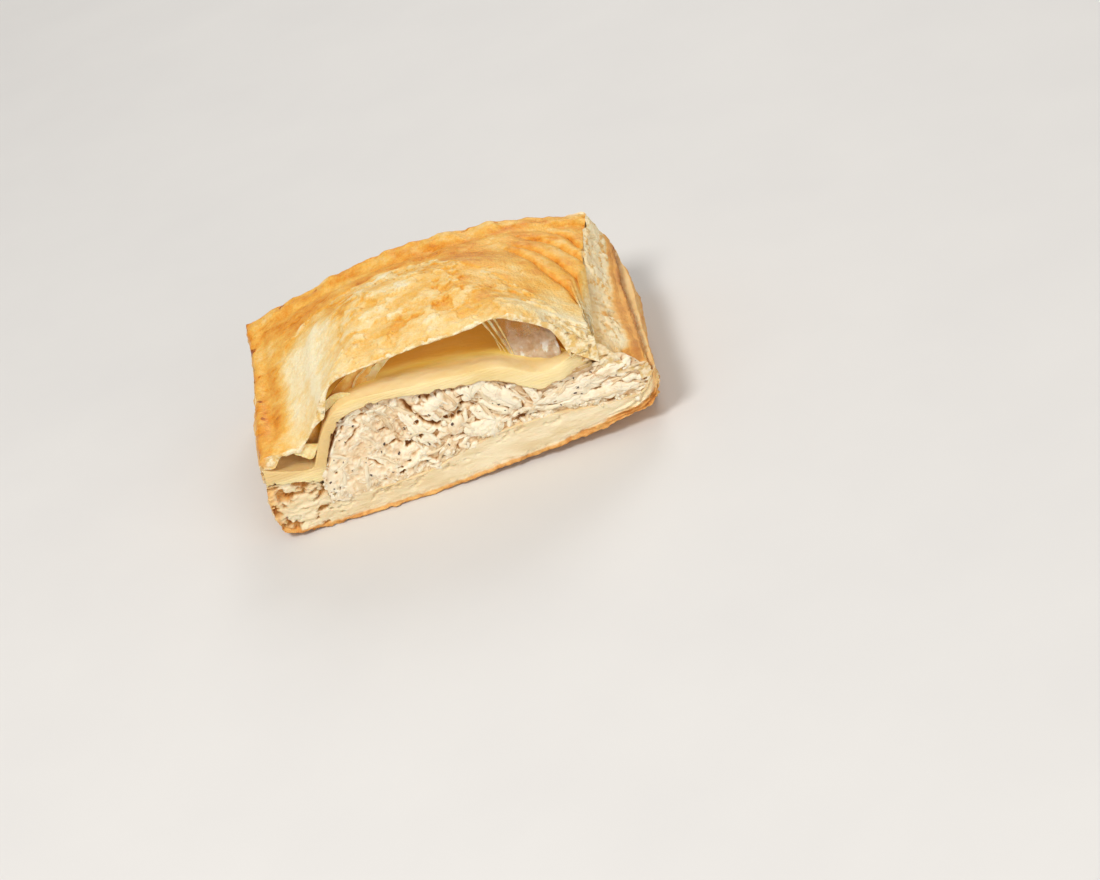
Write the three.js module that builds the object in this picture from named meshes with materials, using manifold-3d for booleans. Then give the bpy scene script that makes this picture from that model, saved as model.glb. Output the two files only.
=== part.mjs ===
// Half of a chicken puff, as cut: a domed top sheet of puff pastry over shredded chicken on a bottom sheet.
// Millimetres. X runs along the cut, Y from the cut (-Y) to the crimped back rim (+Y), Z is up.
// The origin is under the middle of the half, on the surface that it rests on.
import * as THREE from 'three';
import { mergeVertices } from 'three/addons/utils/BufferGeometryUtils.js';
import Module from 'manifold-3d';

const wasm = await Module();
wasm.setup();

// ---------------------------------------------------------------- driving dimensions
const CUT_Y = -33; // plane of the cut
const BACK_Y = 32.4; // top edge of the back rim
const LEFT_X = -48.6; // top edge of the left rim
const RIM_HEIGHT = 24.4; // top of the left and right rims
const BACK_RIM_RISE = 2.1; // the back rim stands this much above the side rims
const BACK_RIM_ARCH = 9; // and its middle is pulled up by the dome
const ARCH_HALF_SPAN = 47;
const DOME_HEIGHT = 42.3; // crown of the crust over the steam pocket
const CRUST = 1; // crust at the lip of the pocket
const SHEET_GAP = 0.3; // clearance between the bottom sheet, the filling and the top sheet
const FILLING_BACK_Y = 20; // depth that the filling reaches
const FILLING_BACK_HEIGHT = 12; // height that its roof comes down towards there
const POCKET_BACK_Y = 4; // depth that the steam pocket reaches
const SHRED_BED = 1.1; // the packed core of the filling lies this far behind the cut
const SHRED_STEP = [5.2, 3.5]; // spacing of the shreds that show at the cut, along and up
const WEB = 1.2; // membranes that cross the pocket
const PAST_CUT = 2; // what opens at the cut is cut out from this far in front of it
const REST_X = [-40, 40]; // the flat face that the half rests on
const REST_Y = [-18, 27];
const REST_RISE = 0.35; // the underside round that face lies this far above it

// Section of the filling at the cut, of the soft inner layer's upper edge, and of the seam between the sheets:
// [x, z] at each turn.
const FILLING_TOP = [[-36, 13], [-32.5, 20], [-28, 26], [-24, 30], [-12, 30.2], [-4, 27], [8, 27.2],
  [15, 23.6], [22, 18.8], [28, 21.4], [33, 20.6], [41, 21.2], [44, 19.6], [46.5, 15.4]];
const FILLING_BOTTOM = [[-36, 7], [-29, 6.2], [-20, 5.6], [-11, 5.8], [-3, 7.8], [9, 10.6], [22, 10.7],
  [35, 8.8], [43, 8.8], [46.5, 12]];
const FLOOR_EDGE = [[-30.5, 30.6], [-25, 33.6], [-12, 33], [-4, 31.5], [8, 31], [14.5, 29.8], [20, 25.2],
  [24, 23.9], [32, 25.6]];
const SEAM_LINE = [[-50, 17], [-36, 13.8], [36, 14.2], [46, 15], [50, 16.6]];

// Right end of the top sheet: where its skin stops, [y, x], and how its torn wall runs in from the golden lip
// (share 0) to the skin (share 1), [part of the height, share].
const SKIN_END = [[-33, 37.2], [-17, 36.6], [-6, 36], [-1, 38], [3, 40.6], [14, 41.7], [28, 44.6], [33, 45.4]];
const END_PROFILE = [[0, 0.14], [0.1, 0], [0.3, 0.02], [0.48, 0.36], [0.7, 0.66], [1, 1]];

// ---------------------------------------------------------------- small maths
const mix = (a, b, t) => a + (b - a) * t;
const clamp01 = (t) => Math.min(1, Math.max(0, t));
const ramp = (t, a, b) => {
  const s = clamp01((t - a) / (b - a));
  return s * s * (3 - 2 * s);
};
const bump = (t, centre, width) => Math.exp(-(((t - centre) / width) ** 2));

// Height of a section at x: straight between its points, each turn rounded by averaging over a short span.
function section(points, x, span = 1.5) {
  const at = (t) => {
    let i = 0;
    while (i < points.length - 2 && t > points[i + 1][0]) i++;
    const [[x0, z0], [x1, z1]] = [points[i], points[i + 1]];
    return mix(z0, z1, clamp01((t - x0) / (x1 - x0)));
  };
  return (at(x - span) + 2 * at(x) + at(x + span)) / 4;
}

// Repeatable random draws in 0..1.
function drawer(seed) {
  let state = seed;
  return () => {
    state = (state * 1664525 + 1013904223) % 4294967296;
    return state / 4294967296;
  };
}

// A closed solid: a block of nu x nv x nw cells whose skin is carried to its place by shape(u, v, w).
function block(nu, nv, nw, shape) {
  const geometry = new THREE.BoxGeometry(1, 1, 1, nu, nv, nw);
  geometry.deleteAttribute('normal');
  geometry.deleteAttribute('uv');
  const merged = mergeVertices(geometry, 1e-6);
  const position = merged.attributes.position;
  for (let i = 0; i < position.count; i++) {
    const place = shape(position.getX(i) + 0.5, position.getY(i) + 0.5, position.getZ(i) + 0.5);
    position.setXYZ(i, ...place);
  }
  return new wasm.Manifold(new wasm.Mesh({
    numProp: 3,
    vertProperties: new Float32Array(position.array),
    triVerts: new Uint32Array(merged.index.array),
  }));
}

function toGeometry(solid) {
  const mesh = solid.getMesh();
  const geometry = new THREE.BufferGeometry();
  geometry.setAttribute('position', new THREE.BufferAttribute(new Float32Array(mesh.vertProperties), 3));
  geometry.setIndex(new THREE.BufferAttribute(new Uint32Array(mesh.triVerts), 1));
  geometry.computeVertexNormals();
  return geometry;
}

// ---------------------------------------------------------------- form of the crust
const rimHeight = (x, y) => {
  const arch = 1 - Math.min(1, (x / ARCH_HALF_SPAN) ** 2);
  return RIM_HEIGHT + (BACK_RIM_RISE + BACK_RIM_ARCH * arch) * ramp(y, -12, 29);
};
const domeHeight = (x, y) => {
  const crown = DOME_HEIGHT - 1.6 * ((x - 4) / 26) ** 2 - 0.0019 * (y + 14) ** 2;
  return crown + 1.6 * bump(x, 16.5, 5) * bump(y, CUT_Y, 10);
};

// How far the dome has risen: 0 on the rims, 1 on the crown. Its flanks are steepest at the cut, and behind
// it they are fuller, like a pillow's.
const domeShare = (x, y) => {
  const inwards = ramp(y, CUT_Y, -12);
  const flank = (t, a, b) => {
    const s = clamp01((t - a) / (b - a));
    return mix(ramp(s, 0, 1), 1 - (1 - s) ** 2, 0.35 * inwards);
  };
  const left = flank(x, mix(-39.5, -45.8, inwards), mix(-23.5, -14, inwards));
  const right = flank(x, mix(48, 47, inwards), mix(19, 8, inwards));
  return left * right * flank(y, 27.5, 0);
};

// Creases beside the left and back rims, and wrinkles that fan out to the back right corner.
function crustRelief(x, y) {
  const back = 0.8 * bump(y, 25, 1.9) * ramp(x, -46, -34);
  const left = 0.6 * bump(x, -44.4, 1.5) * ramp(y, -30, -20) * ramp(y, 29, 24);
  const fan = Math.cos((2 * Math.PI * (x + 0.6 * y - 31)) / 6.2);
  const inFan = ramp(x + 0.35 * y, 25, 31) * ramp(y, -14, -6) * ramp(y, 27, 20);
  return -0.5 * fan * inFan - back - left;
}

const crustTop = (x, y) => mix(rimHeight(x, y), domeHeight(x, y), domeShare(x, y)) + crustRelief(x, y);
const seam = (x) => section(SEAM_LINE, x);

// ---------------------------------------------------------------- flaky edges
// Leaves of the pastry stand out and fall back in turn up a wall; each leaf wanders along the wall.
const leaves = (w, along, count) => {
  const phase = Math.PI * count * w + 0.9 * Math.sin(along / 7.3) * Math.sin(Math.PI * w);
  return 0.75 * Math.sin(phase) * Math.sin(phase) - 0.3 * Math.sin(Math.PI * w) * Math.sin(along / 4.1 + 9 * w);
};

// Outer edges of the top sheet, from the seam (w = 0) to the rim (w = 1).
const TOP_LEAVES = 4;
const topLeft = (y, w) => mix(-49.8, LEFT_X, w) + 0.5 * Math.sin(y / 9) - leaves(w, y, TOP_LEAVES);
const topRight = (y, w) => {
  const skin = section(SKIN_END, y);
  const lip = 48.2 + 0.02 * (y + 30) * ramp(y, 5, 30);
  return mix(lip, skin, section(END_PROFILE, w, 0.04)) + 0.6 * leaves(w, y, TOP_LEAVES) * ramp(w, 0.1, 0.3);
};
const topBack = (x, w) => mix(32.4, BACK_Y, w) + 0.3 * Math.sin(x / 8) + 0.5 * leaves(w, x, TOP_LEAVES);

// Outer edges of the bottom sheet, from its underside (w = 0) to the seam (w = 1).
const BASE_LEAVES = 3;
const sheetBulge = (w) => Math.sin(Math.PI * Math.min(1, 0.12 + w));
const baseLeft = (y, w) => {
  const upright = -49 + 0.3 * Math.sin(y / 6) - 0.5 * leaves(w, y, BASE_LEAVES);
  return upright - 1.5 * sheetBulge(0.8 * w);
};
const baseRight = (y, w) => {
  const upright = mix(47.8, 49.5, ramp(w, 0, 0.4)) + 0.5 * leaves(w, y, BASE_LEAVES);
  return upright + 2 * bump(y, 10, 18) * (1 - ((w - 0.62) / 0.62) ** 2);
};
const baseBack = (x, w) => 32 + 1.2 * sheetBulge(w) + 0.3 * Math.sin(x / 7);

// A sheet's body: its plan is stretched between its edges, and its height between low(x, y) and high(x, y).
function sheet([nu, nv, nw], edges, low, high) {
  return block(nu, nv, nw, (u, v, w) => {
    const depth = mix(CUT_Y, BACK_Y, v);
    const x = mix(edges.left(depth, w), edges.right(depth, w), u);
    const y = mix(CUT_Y, edges.back(x, w), v);
    return [x, y, mix(low(x, y), high(x, y), w)];
  });
}

// ---------------------------------------------------------------- filling
const FILLING_X = [-36, 46.5];

// The space that the filling takes, with its open end run past the cut. grow widens it on every other side.
function fillingSpace(grow) {
  return block(24, 8, 3, (u, v, w) => {
    const y = mix(CUT_Y - PAST_CUT, FILLING_BACK_Y + grow, v);
    const inward = clamp01((y - CUT_Y) / (FILLING_BACK_Y - CUT_Y));
    const squeeze = Math.sqrt(1 - 0.88 * inward ** 3);
    const across = mix(FILLING_X[0], FILLING_X[1], u);
    const middle = 3;
    const x = middle + (across - middle) * squeeze + grow * (2 * u - 1);
    const floor = section(FILLING_BOTTOM, across);
    const behind = Math.max(28.2 - 0.0052 * (across + 14) ** 2, 19);
    const roof = mix(section(FILLING_TOP, across), behind, ramp(y, CUT_Y, -20));
    const low = floor - grow;
    const high = mix(FILLING_BACK_HEIGHT, roof, squeeze) + grow;
    return [x, y, mix(low, high, w)];
  });
}

// One shred of chicken: a bent strip that thins to its ends, lying along the cut.
function shred(centre, length, width, thickness, turn, bend, lift) {
  const strip = block(2, 1, 1, (u, v, w) => {
    const t = 2 * u - 1;
    const taper = 1 - 0.45 * t * t;
    return [0.5 * length * t, (v - 0.5) * thickness * taper + 0.3 * t, (w - 0.5) * width * taper + bend * t * t];
  });
  return strip.rotate([0, turn, 0]).rotate([0, 0, lift]).translate(centre);
}

// Shreds that show at the cut: rows of strips of uneven size and slant over the whole section.
function shredsAtCut() {
  const draw = drawer(41);
  const between = (a, b) => mix(a, b, draw());
  const strips = [];
  for (let x = FILLING_X[0] + 2; x < FILLING_X[1] - 1; x += SHRED_STEP[0]) {
    const low = section(FILLING_BOTTOM, x) + 1.2;
    const high = section(FILLING_TOP, x) - 1.2;
    for (let z = low; z < high; z += SHRED_STEP[1]) {
      const centre = [x + between(-1.5, 1.5), CUT_Y + between(0.5, 0.9), z + between(-0.8, 0.8)];
      const slant = between(-70, 40);
      strips.push(shred(centre, between(5, 11), between(1.7, 2.9), between(1.4, 2), slant, between(-0.8, 0.8),
        between(-7, 7)));
    }
  }
  return wasm.Manifold.union(strips);
}

// The outer skin of the largest body: what joining seals inside is filled, and loose scraps are dropped.
const largestBody = (solid) => solid.decompose().reduce((a, b) => (b.volume() > a.volume() ? b : a));

function chickenFilling() {
  const space = fillingSpace(0);
  const behindCut = block(1, 1, 1, (u, v, w) => [120 * (u - 0.5), CUT_Y + SHRED_BED + 80 * v, 60 * w]);
  return largestBody(space.intersect(behindCut).add(shredsAtCut().intersect(space)));
}

// ---------------------------------------------------------------- hollows of the top sheet
// Steam pocket between the crust and the soft inner layer, open at the cut.
const pocketLeft = (y) => mix(-30.3, -24, ramp(y, CUT_Y, POCKET_BACK_Y));
const pocketRight = (y) => mix(32, 22, ramp(y, CUT_Y, POCKET_BACK_Y));
function crustThickness(x, y) {
  const right = 1.2 * ramp(x, 15, 21) + 5.5 * ramp(x, 27.5, 31.5);
  const left = 2.2 * bump(x, -30, 2.2);
  return CRUST + (right + left) * ramp(y, -20, CUT_Y) + 1.8 * ramp(y, CUT_Y, -20);
}
const pocketRoof = (x, y) => crustTop(x, y) - crustThickness(x, y);
const pocketFloor = (x, y) => mix(section(FLOOR_EDGE, x), 32 - 0.0052 * (x + 14) ** 2, ramp(y, CUT_Y, -20));

function steamPocket() {
  return block(24, 7, 1, (u, v, w) => {
    const y = mix(CUT_Y - PAST_CUT, POCKET_BACK_Y, v);
    const x = mix(pocketLeft(y), pocketRight(y), u);
    const low = pocketFloor(x, Math.max(y, CUT_Y));
    const roof = pocketRoof(x, Math.max(y, CUT_Y));
    const high = Math.max(low + 1, mix(roof, low + 2, ramp(y, -12, POCKET_BACK_Y + 3)));
    return [x, y, mix(low, high, w)];
  });
}

// A small opening at the cut that narrows to its inner end. corners are its four [x, z] at the cut.
function smallOpening(corners, depth) {
  const middle = [0, 1].map((k) => corners.reduce((sum, corner) => sum + corner[k], 0) / corners.length);
  return block(2, 3, 2, (u, v, w) => {
    const narrow = 1 - 0.5 * v * v;
    const [a, b, c, d] = corners;
    const flat = [0, 1].map((k) => mix(mix(a[k], b[k], u), mix(d[k], c[k], u), w));
    const [x, z] = flat.map((value, k) => middle[k] + (value - middle[k]) * narrow);
    return [x, mix(CUT_Y - PAST_CUT, CUT_Y + depth, v), z];
  });
}
const rimHole = () => smallOpening([[-46.4, 20.2], [-36.4, 17.4], [-36, 20.3], [-45.4, 22.8]], 13);
const slit = () => smallOpening([[-36.2, 25], [-34.4, 23.4], [-31, 28], [-32, 29]], 8);

// A membrane left across the pocket: a thin curved wall from below its floor to inside its crust.
function membrane(ends, bow) {
  const [[x0, y0], [x1, y1]] = ends;
  return block(5, 1, 3, (u, v, w) => {
    const x = mix(x0, x1, u);
    const y = mix(y0, y1, u) + bow * Math.sin(Math.PI * u) + (v - 0.5) * WEB + 1.5 * (w - 0.5);
    return [x, y, mix(pocketFloor(x, y) - 1.2, pocketRoof(x, y) + 0.6, w)];
  });
}

// ---------------------------------------------------------------- the two sheets
// Underside round the resting face: its edges are turned up, most of all at the right end of the cut.
function underside(x, y) {
  const cutEdge = 0.0012 * (x + 17) ** 2 * ramp(y, -20, CUT_Y);
  const outer = Math.max(ramp(Math.abs(x), 45, 51), ramp(y, 29, 34));
  return REST_RISE + Math.max(cutEdge, 1.1 * outer);
}

// The flat face that the half rests on, which stands a little out of the underside.
function restingFace() {
  return block(1, 1, 1, (u, v, w) => {
    const spread = mix(0.985, 1, w);
    const middle = (REST_Y[0] + REST_Y[1]) / 2;
    return [mix(...REST_X, u) * spread, middle + (mix(...REST_Y, v) - middle) * spread, mix(0, 2 * REST_RISE, w)];
  });
}

function pastryBase() {
  const edges = { left: baseLeft, right: baseRight, back: baseBack };
  const body = sheet([22, 12, 6], edges, underside, (x) => seam(x) - SHEET_GAP / 2);
  return body.add(restingFace()).subtract(fillingSpace(SHEET_GAP));
}

function pastryTop() {
  const edges = { left: topLeft, right: topRight, back: topBack };
  const body = sheet([40, 21, 8], edges, (x) => seam(x) + SHEET_GAP / 2, crustTop);
  const leftWeb = membrane([[-26, -27.5], [-17, -22]], 0.5);
  const rightWeb = membrane([[13, -23.5], [28, -28]], 1.5);
  const hollowed = body.subtract(steamPocket()).add(leftWeb.add(rightWeb).intersect(body));
  return hollowed.subtract(rimHole()).subtract(slit()).subtract(fillingSpace(SHEET_GAP));
}

// ---------------------------------------------------------------- materials and scene graph
const goldenCrust = new THREE.MeshStandardMaterial({ color: 0xe0aa58, roughness: 0.45, metalness: 0 });
const paleDough = new THREE.MeshStandardMaterial({ color: 0xe6cc96, roughness: 0.7, metalness: 0 });
const cookedChicken = new THREE.MeshStandardMaterial({ color: 0xe4d2bd, roughness: 0.6, metalness: 0 });

const puff = new THREE.Group();
function addPiece(name, solid, material) {
  const piece = new THREE.Mesh(toGeometry(solid), material);
  piece.name = name;
  puff.add(piece);
}
addPiece('pastry_base', pastryBase(), paleDough);
addPiece('chicken_filling', chickenFilling(), cookedChicken);
addPiece('pastry_top', pastryTop(), goldenCrust);

export default puff;
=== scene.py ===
import bpy
import numpy as np
from mathutils import Matrix, Vector


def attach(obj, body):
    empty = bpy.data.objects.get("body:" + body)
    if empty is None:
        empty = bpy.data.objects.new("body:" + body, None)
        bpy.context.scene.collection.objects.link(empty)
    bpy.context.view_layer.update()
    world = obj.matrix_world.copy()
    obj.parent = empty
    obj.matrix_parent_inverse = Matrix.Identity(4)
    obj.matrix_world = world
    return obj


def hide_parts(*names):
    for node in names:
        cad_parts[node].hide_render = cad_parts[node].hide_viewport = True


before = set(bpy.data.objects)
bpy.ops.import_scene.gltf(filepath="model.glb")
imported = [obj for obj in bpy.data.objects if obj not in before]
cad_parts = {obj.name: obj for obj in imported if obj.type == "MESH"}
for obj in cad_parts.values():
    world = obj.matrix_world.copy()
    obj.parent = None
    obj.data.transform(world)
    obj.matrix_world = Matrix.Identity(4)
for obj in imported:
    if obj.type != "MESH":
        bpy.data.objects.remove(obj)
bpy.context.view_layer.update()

# ------------------------------------------------------------------ camera
# The half lies on its base and is seen over the cut from a little above. The picture is turned, because the
# half leaned to its left. Millimetres, and the picture is taken as 1100 x 880.
MM = 0.001
PICTURE_WIDTH = 1100
AZIMUTH, ELEVATION, ROLL = np.radians([2.0, 32.0, 18.855])
SENSOR_WIDTH = 36
FOCAL_PIXELS = 2400
CAMERA_PLACE = np.array([37.04, -529.6, 315.42])


def camera_axes(azimuth, elevation, roll):
    """Right, up and back of a camera at this azimuth and elevation, turned about its view by roll."""
    level_reach = np.cos(elevation)
    forward = np.array([-np.sin(azimuth) * level_reach, np.cos(azimuth) * level_reach, -np.sin(elevation)])
    level = np.array([np.cos(azimuth), np.sin(azimuth), 0.0])
    upright = np.cross(level, forward)
    right = np.cos(roll) * level - np.sin(roll) * upright
    up = np.sin(roll) * level + np.cos(roll) * upright
    return right, up, -forward


camera = bpy.data.objects.new("camera", bpy.data.cameras.new("camera"))
bpy.context.collection.objects.link(camera)
camera.data.sensor_width = SENSOR_WIDTH
camera.data.lens = SENSOR_WIDTH * FOCAL_PIXELS / PICTURE_WIDTH
camera.data.clip_start = 0.01
turned = Matrix([list(axis) for axis in zip(*camera_axes(AZIMUTH, ELEVATION, ROLL))]).to_4x4()
camera.matrix_world = Matrix.Translation(Vector(CAMERA_PLACE * MM)) @ turned
bpy.context.scene.camera = camera


# ------------------------------------------------------------------ floor and light
# A plain pale table in a bright room, with a soft light from above and in front, and weaker ones from
# behind and from the right.
def srgb(red, green, blue):
    """A colour given as 0..255 screen values, as the linear values that a shader takes."""
    part = np.array([red, green, blue]) / 255
    return tuple(float(c) for c in np.where(part <= 0.04045, part / 12.92, ((part + 0.055) / 1.055) ** 2.4))


class Value:
    """A number from a shader socket. Its operators add Math nodes, so a mask is written as an expression."""

    def __init__(self, shader, socket):
        self.shader, self.socket = shader, socket

    def _math(self, operation, *inputs):
        return self.shader.node("ShaderNodeMath", {"operation": operation}, *inputs)[0]

    def __add__(self, other): return self._math("ADD", self, other)
    def __radd__(self, other): return self._math("ADD", other, self)
    def __sub__(self, other): return self._math("SUBTRACT", self, other)
    def __rsub__(self, other): return self._math("SUBTRACT", other, self)
    def __mul__(self, other): return self._math("MULTIPLY", self, other)
    def __rmul__(self, other): return self._math("MULTIPLY", other, self)
    def at_least(self, other): return self._math("MAXIMUM", self, other)

    def ramp(self, low, high):
        """0 below low, 1 above high, and a smooth rise between, or the reverse where low is the larger."""
        sizes = {"From Min": min(low, high), "From Max": max(low, high)}
        ends = {"To Min": 0.0, "To Max": 1.0} if low < high else {"To Min": 1.0, "To Max": 0.0}
        settings = {"interpolation_type": "SMOOTHSTEP"}
        return self.shader.node("ShaderNodeMapRange", settings, Value=self, **{**sizes, **ends})[0]


class Shader:
    """A new material with one Principled shader, to which node() adds any other node."""

    def __init__(self, name, **constants):
        self.material = bpy.data.materials.new(name)
        self.material.use_nodes = True
        self.tree = self.material.node_tree
        self.surface = next(n for n in self.tree.nodes if n.type == "BSDF_PRINCIPLED")
        for socket, value in constants.items():
            self.surface.inputs[socket.replace("_", " ")].default_value = value

    def node(self, kind, settings, *places, **names):
        """A node of this type, with settings made first, then sockets by order or by
        name. Gives its outputs."""
        made = self.tree.nodes.new(kind)
        for key, value in settings.items():
            if key == "stops":
                ramp = made.color_ramp
                while len(ramp.elements) < len(value):
                    ramp.elements.new(0.5)
                for element, (place, colour) in zip(ramp.elements, value):
                    element.position, element.color = place, (*colour, 1.0)
            else:
                setattr(made, key, value)
        for key, value in [*enumerate(places), *names.items()]:
            socket = made.inputs[key]
            if isinstance(value, Value):
                self.tree.links.new(value.socket, socket)
            else:
                socket.default_value = value
        return [Value(self, output) for output in made.outputs if output.enabled]

    def place(self):
        return self.node("ShaderNodeTexCoord", {})[3]

    def along(self, axis):
        """The place along the object's axis 0, 1 or 2, in metres."""
        return self.node("ShaderNodeSeparateXYZ", {}, Vector=self.place())[axis]

    def noise(self, size_mm, detail=4.0, stretch=(1, 1, 1)):
        """Noise in 0..1 with features of about size_mm, on the object's own coordinates."""
        scale = tuple(1 / (size_mm * MM * s) for s in stretch)
        moved = self.node("ShaderNodeMapping", {}, Vector=self.place(), Scale=scale)[0]
        return self.node("ShaderNodeTexNoise", {}, Vector=moved, Scale=1.0, Detail=detail, Roughness=0.55)[0]

    def marked(self, name):
        """The piece's own attribute of this name."""
        return self.node("ShaderNodeAttribute", {"attribute_name": name})[2]

    def blend(self, share, first, second):
        """A colour that goes from first to second as share goes from 0 to 1. Plain colours are 0..255."""
        made = self.tree.nodes.new("ShaderNodeMix")
        made.data_type = "RGBA"
        for key, value in (("Factor_Float", share), ("A_Color", first), ("B_Color", second)):
            socket = next(s for s in made.inputs if s.identifier == key)
            if isinstance(value, Value):
                self.tree.links.new(value.socket, socket)
            else:
                socket.default_value = value if key == "Factor_Float" else (*srgb(*value), 1.0)
        return Value(self, next(s for s in made.outputs if s.identifier == "Result_Color"))

    def mottled(self, size_mm, detail, first, second, low=0.3, high=0.7, stretch=(1, 1, 1)):
        """Two colours in soft patches of about size_mm."""
        return self.blend(self.noise(size_mm, detail, stretch).ramp(low, high), first, second)

    def scale(self, tone, *stops):
        """The colour at tone on a scale of colours: each stop is a tone and its red, green and blue."""
        stops = [(place, srgb(*colour)) for place, *colour in stops]
        return self.node("ShaderNodeValToRGB", {"stops": stops}, Fac=tone)[0]

    def feed(self, socket, value):
        self.tree.links.new(value.socket, self.surface.inputs[socket])

    def bump(self, height, depth_mm):
        """Small relief: height in 0..1 stands for depth_mm."""
        bumped = self.node("ShaderNodeBump", {}, Height=height, Distance=depth_mm * MM, Strength=1.0)[0]
        self.feed("Normal", bumped)


TABLE_REACH = 1.5
table_paint = Shader("pale_table", Roughness=0.75)
table_paint.feed("Base Color", table_paint.blend(table_paint.noise(45, 3), (226, 224, 221), (219, 217, 215)))
floor_mesh = bpy.data.meshes.new("floor")
corners = [(TABLE_REACH * x, TABLE_REACH * y, 0) for x, y in ((-1, -1), (1, -1), (1, 1), (-1, 1))]
floor_mesh.from_pydata(corners, [], [(0, 1, 2, 3)])
floor = bpy.data.objects.new("floor", floor_mesh)
floor_mesh.materials.append(table_paint.material)
bpy.context.collection.objects.link(floor)


def soft_light(name, place, size, power, colour):
    """A square lamp of this size in metres, turned to the middle of the half."""
    lamp = bpy.data.objects.new(name, bpy.data.lights.new(name, "AREA"))
    lamp.data.size, lamp.data.energy, lamp.data.color = size, power, colour
    lamp.location = place
    lamp.rotation_euler = (Vector((0, 0, 0.02)) - Vector(place)).to_track_quat("-Z", "Y").to_euler()
    bpy.context.collection.objects.link(lamp)


soft_light("key_light", (-0.35, -0.5, 0.85), 0.3, 6.2, (1.0, 0.98, 0.95))
soft_light("back_light", (0.25, 0.7, 0.6), 0.4, 2.2, (1.0, 0.99, 0.97))
soft_light("fill_light", (0.5, -0.8, 0.3), 0.6, 2.6, (1.0, 0.98, 0.95))
room = bpy.data.worlds.new("room")
room.use_nodes = True
room.node_tree.nodes["Background"].inputs["Color"].default_value = (1.0, 0.98, 0.95, 1.0)
room.node_tree.nodes["Background"].inputs["Strength"].default_value = 0.42
bpy.context.scene.world = room
bpy.context.scene.view_settings.view_transform = "Standard"

# ------------------------------------------------------------------ crust
# The top sheet's outer skin: egg-washed and browned, blown up into a dome over the steam pocket and pressed
# down along the left and back rims. At the cut it ends in a thin ragged lip, and in torn dough to the right.
CUT_Y, BACK_Y, LEFT_X = -33.0, 32.4, -48.6
RIM_HEIGHT, BACK_RIM_RISE, BACK_RIM_ARCH, ARCH_HALF_SPAN = 24.4, 2.1, 9.0, 47.0
DOME_HEIGHT = 42.3
POCKET_BACK_Y = 4.0
FLOOR_EDGE = [[-30.5, 30.6], [-25, 33.6], [-12, 33], [-4, 31.5], [8, 31], [14.5, 29.8], [20, 25.2],
              [24, 23.9], [32, 25.6]]
FILLING_TOP = [[-36, 13], [-32.5, 20], [-28, 26], [-24, 30], [-12, 30.2], [-4, 27], [8, 27.2], [15, 23.6],
               [22, 18.8], [28, 21.4], [33, 20.6], [41, 21.8], [44, 20.5], [48, 14.2]]
FILLING_BOTTOM = [[-36, 7], [-29, 6.2], [-20, 5.6], [-11, 5.8], [-3, 7.8], [9, 10.6], [22, 10.7], [35, 8.8],
                  [44, 8.6], [48, 12]]
SKIN_END = [[-33, 37.2], [-17, 36.6], [-6, 36], [-1, 38], [3, 40.6], [14, 41.7], [28, 44.6], [33, 45.4]]
CREASES = ([(19, 18), (25.4, 10.6), (30.9, -0.3), (35.9, -9.1), (36.5, -14)],
           [(22, 19.5), (28.7, 12.7), (33.8, 6.9), (40, -2.5)],
           [(24, 23.5), (31.8, 18.4), (36.5, 14.2), (42, 3.5)], [(31, 25), (37.5, 20.5), (44, 11)])
FOLD = [(-22, 15), (-29, 5), (-31.5, -8), (-30.5, -20), (-29, -34)]
PLATEAU_EDGE = [[-46, -4], [-37, 12], [-24, 17], [-10, 21], [3, 16], [12, 1], [19, -4], [25, -13],
                [30, -21], [34, -33]]


def mix(a, b, t):
    return a + (b - a) * t


def ramp(t, a, b):
    """0 at a, 1 at b, with a smooth rise between."""
    s = np.clip((t - a) / (b - a), 0, 1)
    return s * s * (3 - 2 * s)


def hump(t, centre, width):
    """A bell of height 1 about centre."""
    return np.exp(-(((t - centre) / width) ** 2))


def drawn(points, at):
    """Height of a drawn line at these places: straight between its points, its turns rounded over 3 mm."""
    along, height = np.array(points, float).T
    return sum(np.interp(at + step, along, height) for step in (-1.5, -0.75, 0, 0.75, 1.5)) / 5


def lattice(x, y, z, seed):
    """A repeatable number in -1..1 for every whole-numbered place: its coordinates are
    multiplied and mixed."""
    mixed = x.astype(np.uint32) * np.uint32(374761393) + y.astype(np.uint32) * np.uint32(668265263)
    mixed = mixed + z.astype(np.uint32) * np.uint32(2246822519) + np.uint32(seed * 3266489917 % 2**32)
    mixed = (mixed ^ (mixed >> np.uint32(13))) * np.uint32(1274126177)
    mixed = (mixed ^ (mixed >> np.uint32(15))) * np.uint32(2246822519)
    return (mixed ^ (mixed >> np.uint32(16))) / 2147483648.0 - 1.0


def noise(x, y, z, size, seed=0):
    """Smooth noise in -1..1: lattice numbers blended between the eight corners of each cell of this size."""
    shape = np.broadcast_shapes(np.shape(x), np.shape(y), np.shape(z))
    x, y, z = [np.broadcast_to(np.asarray(c, float), shape) / size + 500.0 for c in (x, y, z)]
    x, y = 0.8 * x + 0.6 * y, 0.8 * y - 0.6 * x + 700
    y, z = 0.8 * y + 0.6 * z, 0.8 * z - 0.6 * y + 900
    place = (x, y, z)
    whole = [np.floor(c).astype(np.int64) for c in place]
    part = [c - w for c, w in zip(place, whole)]
    fade = [p * p * (3 - 2 * p) for p in part]
    total = 0
    for corner in range(8):
        step = [corner & 1, corner >> 1 & 1, corner >> 2 & 1]
        weight = 1
        for f, s in zip(fade, step):
            weight = weight * (f if s else 1 - f)
        total = total + weight * lattice(*[w + s for w, s in zip(whole, step)], seed)
    return total


def fractal(x, y, z, size, octaves=4, seed=0):
    """Noise added to itself at half the size and half the height, again and again; about -1..1."""
    total = sum(noise(x, y, z, size / 2**k, seed + 7 * k) / 2**k for k in range(octaves))
    return total / (2 - 0.5 ** (octaves - 1)) * 1.4


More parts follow.
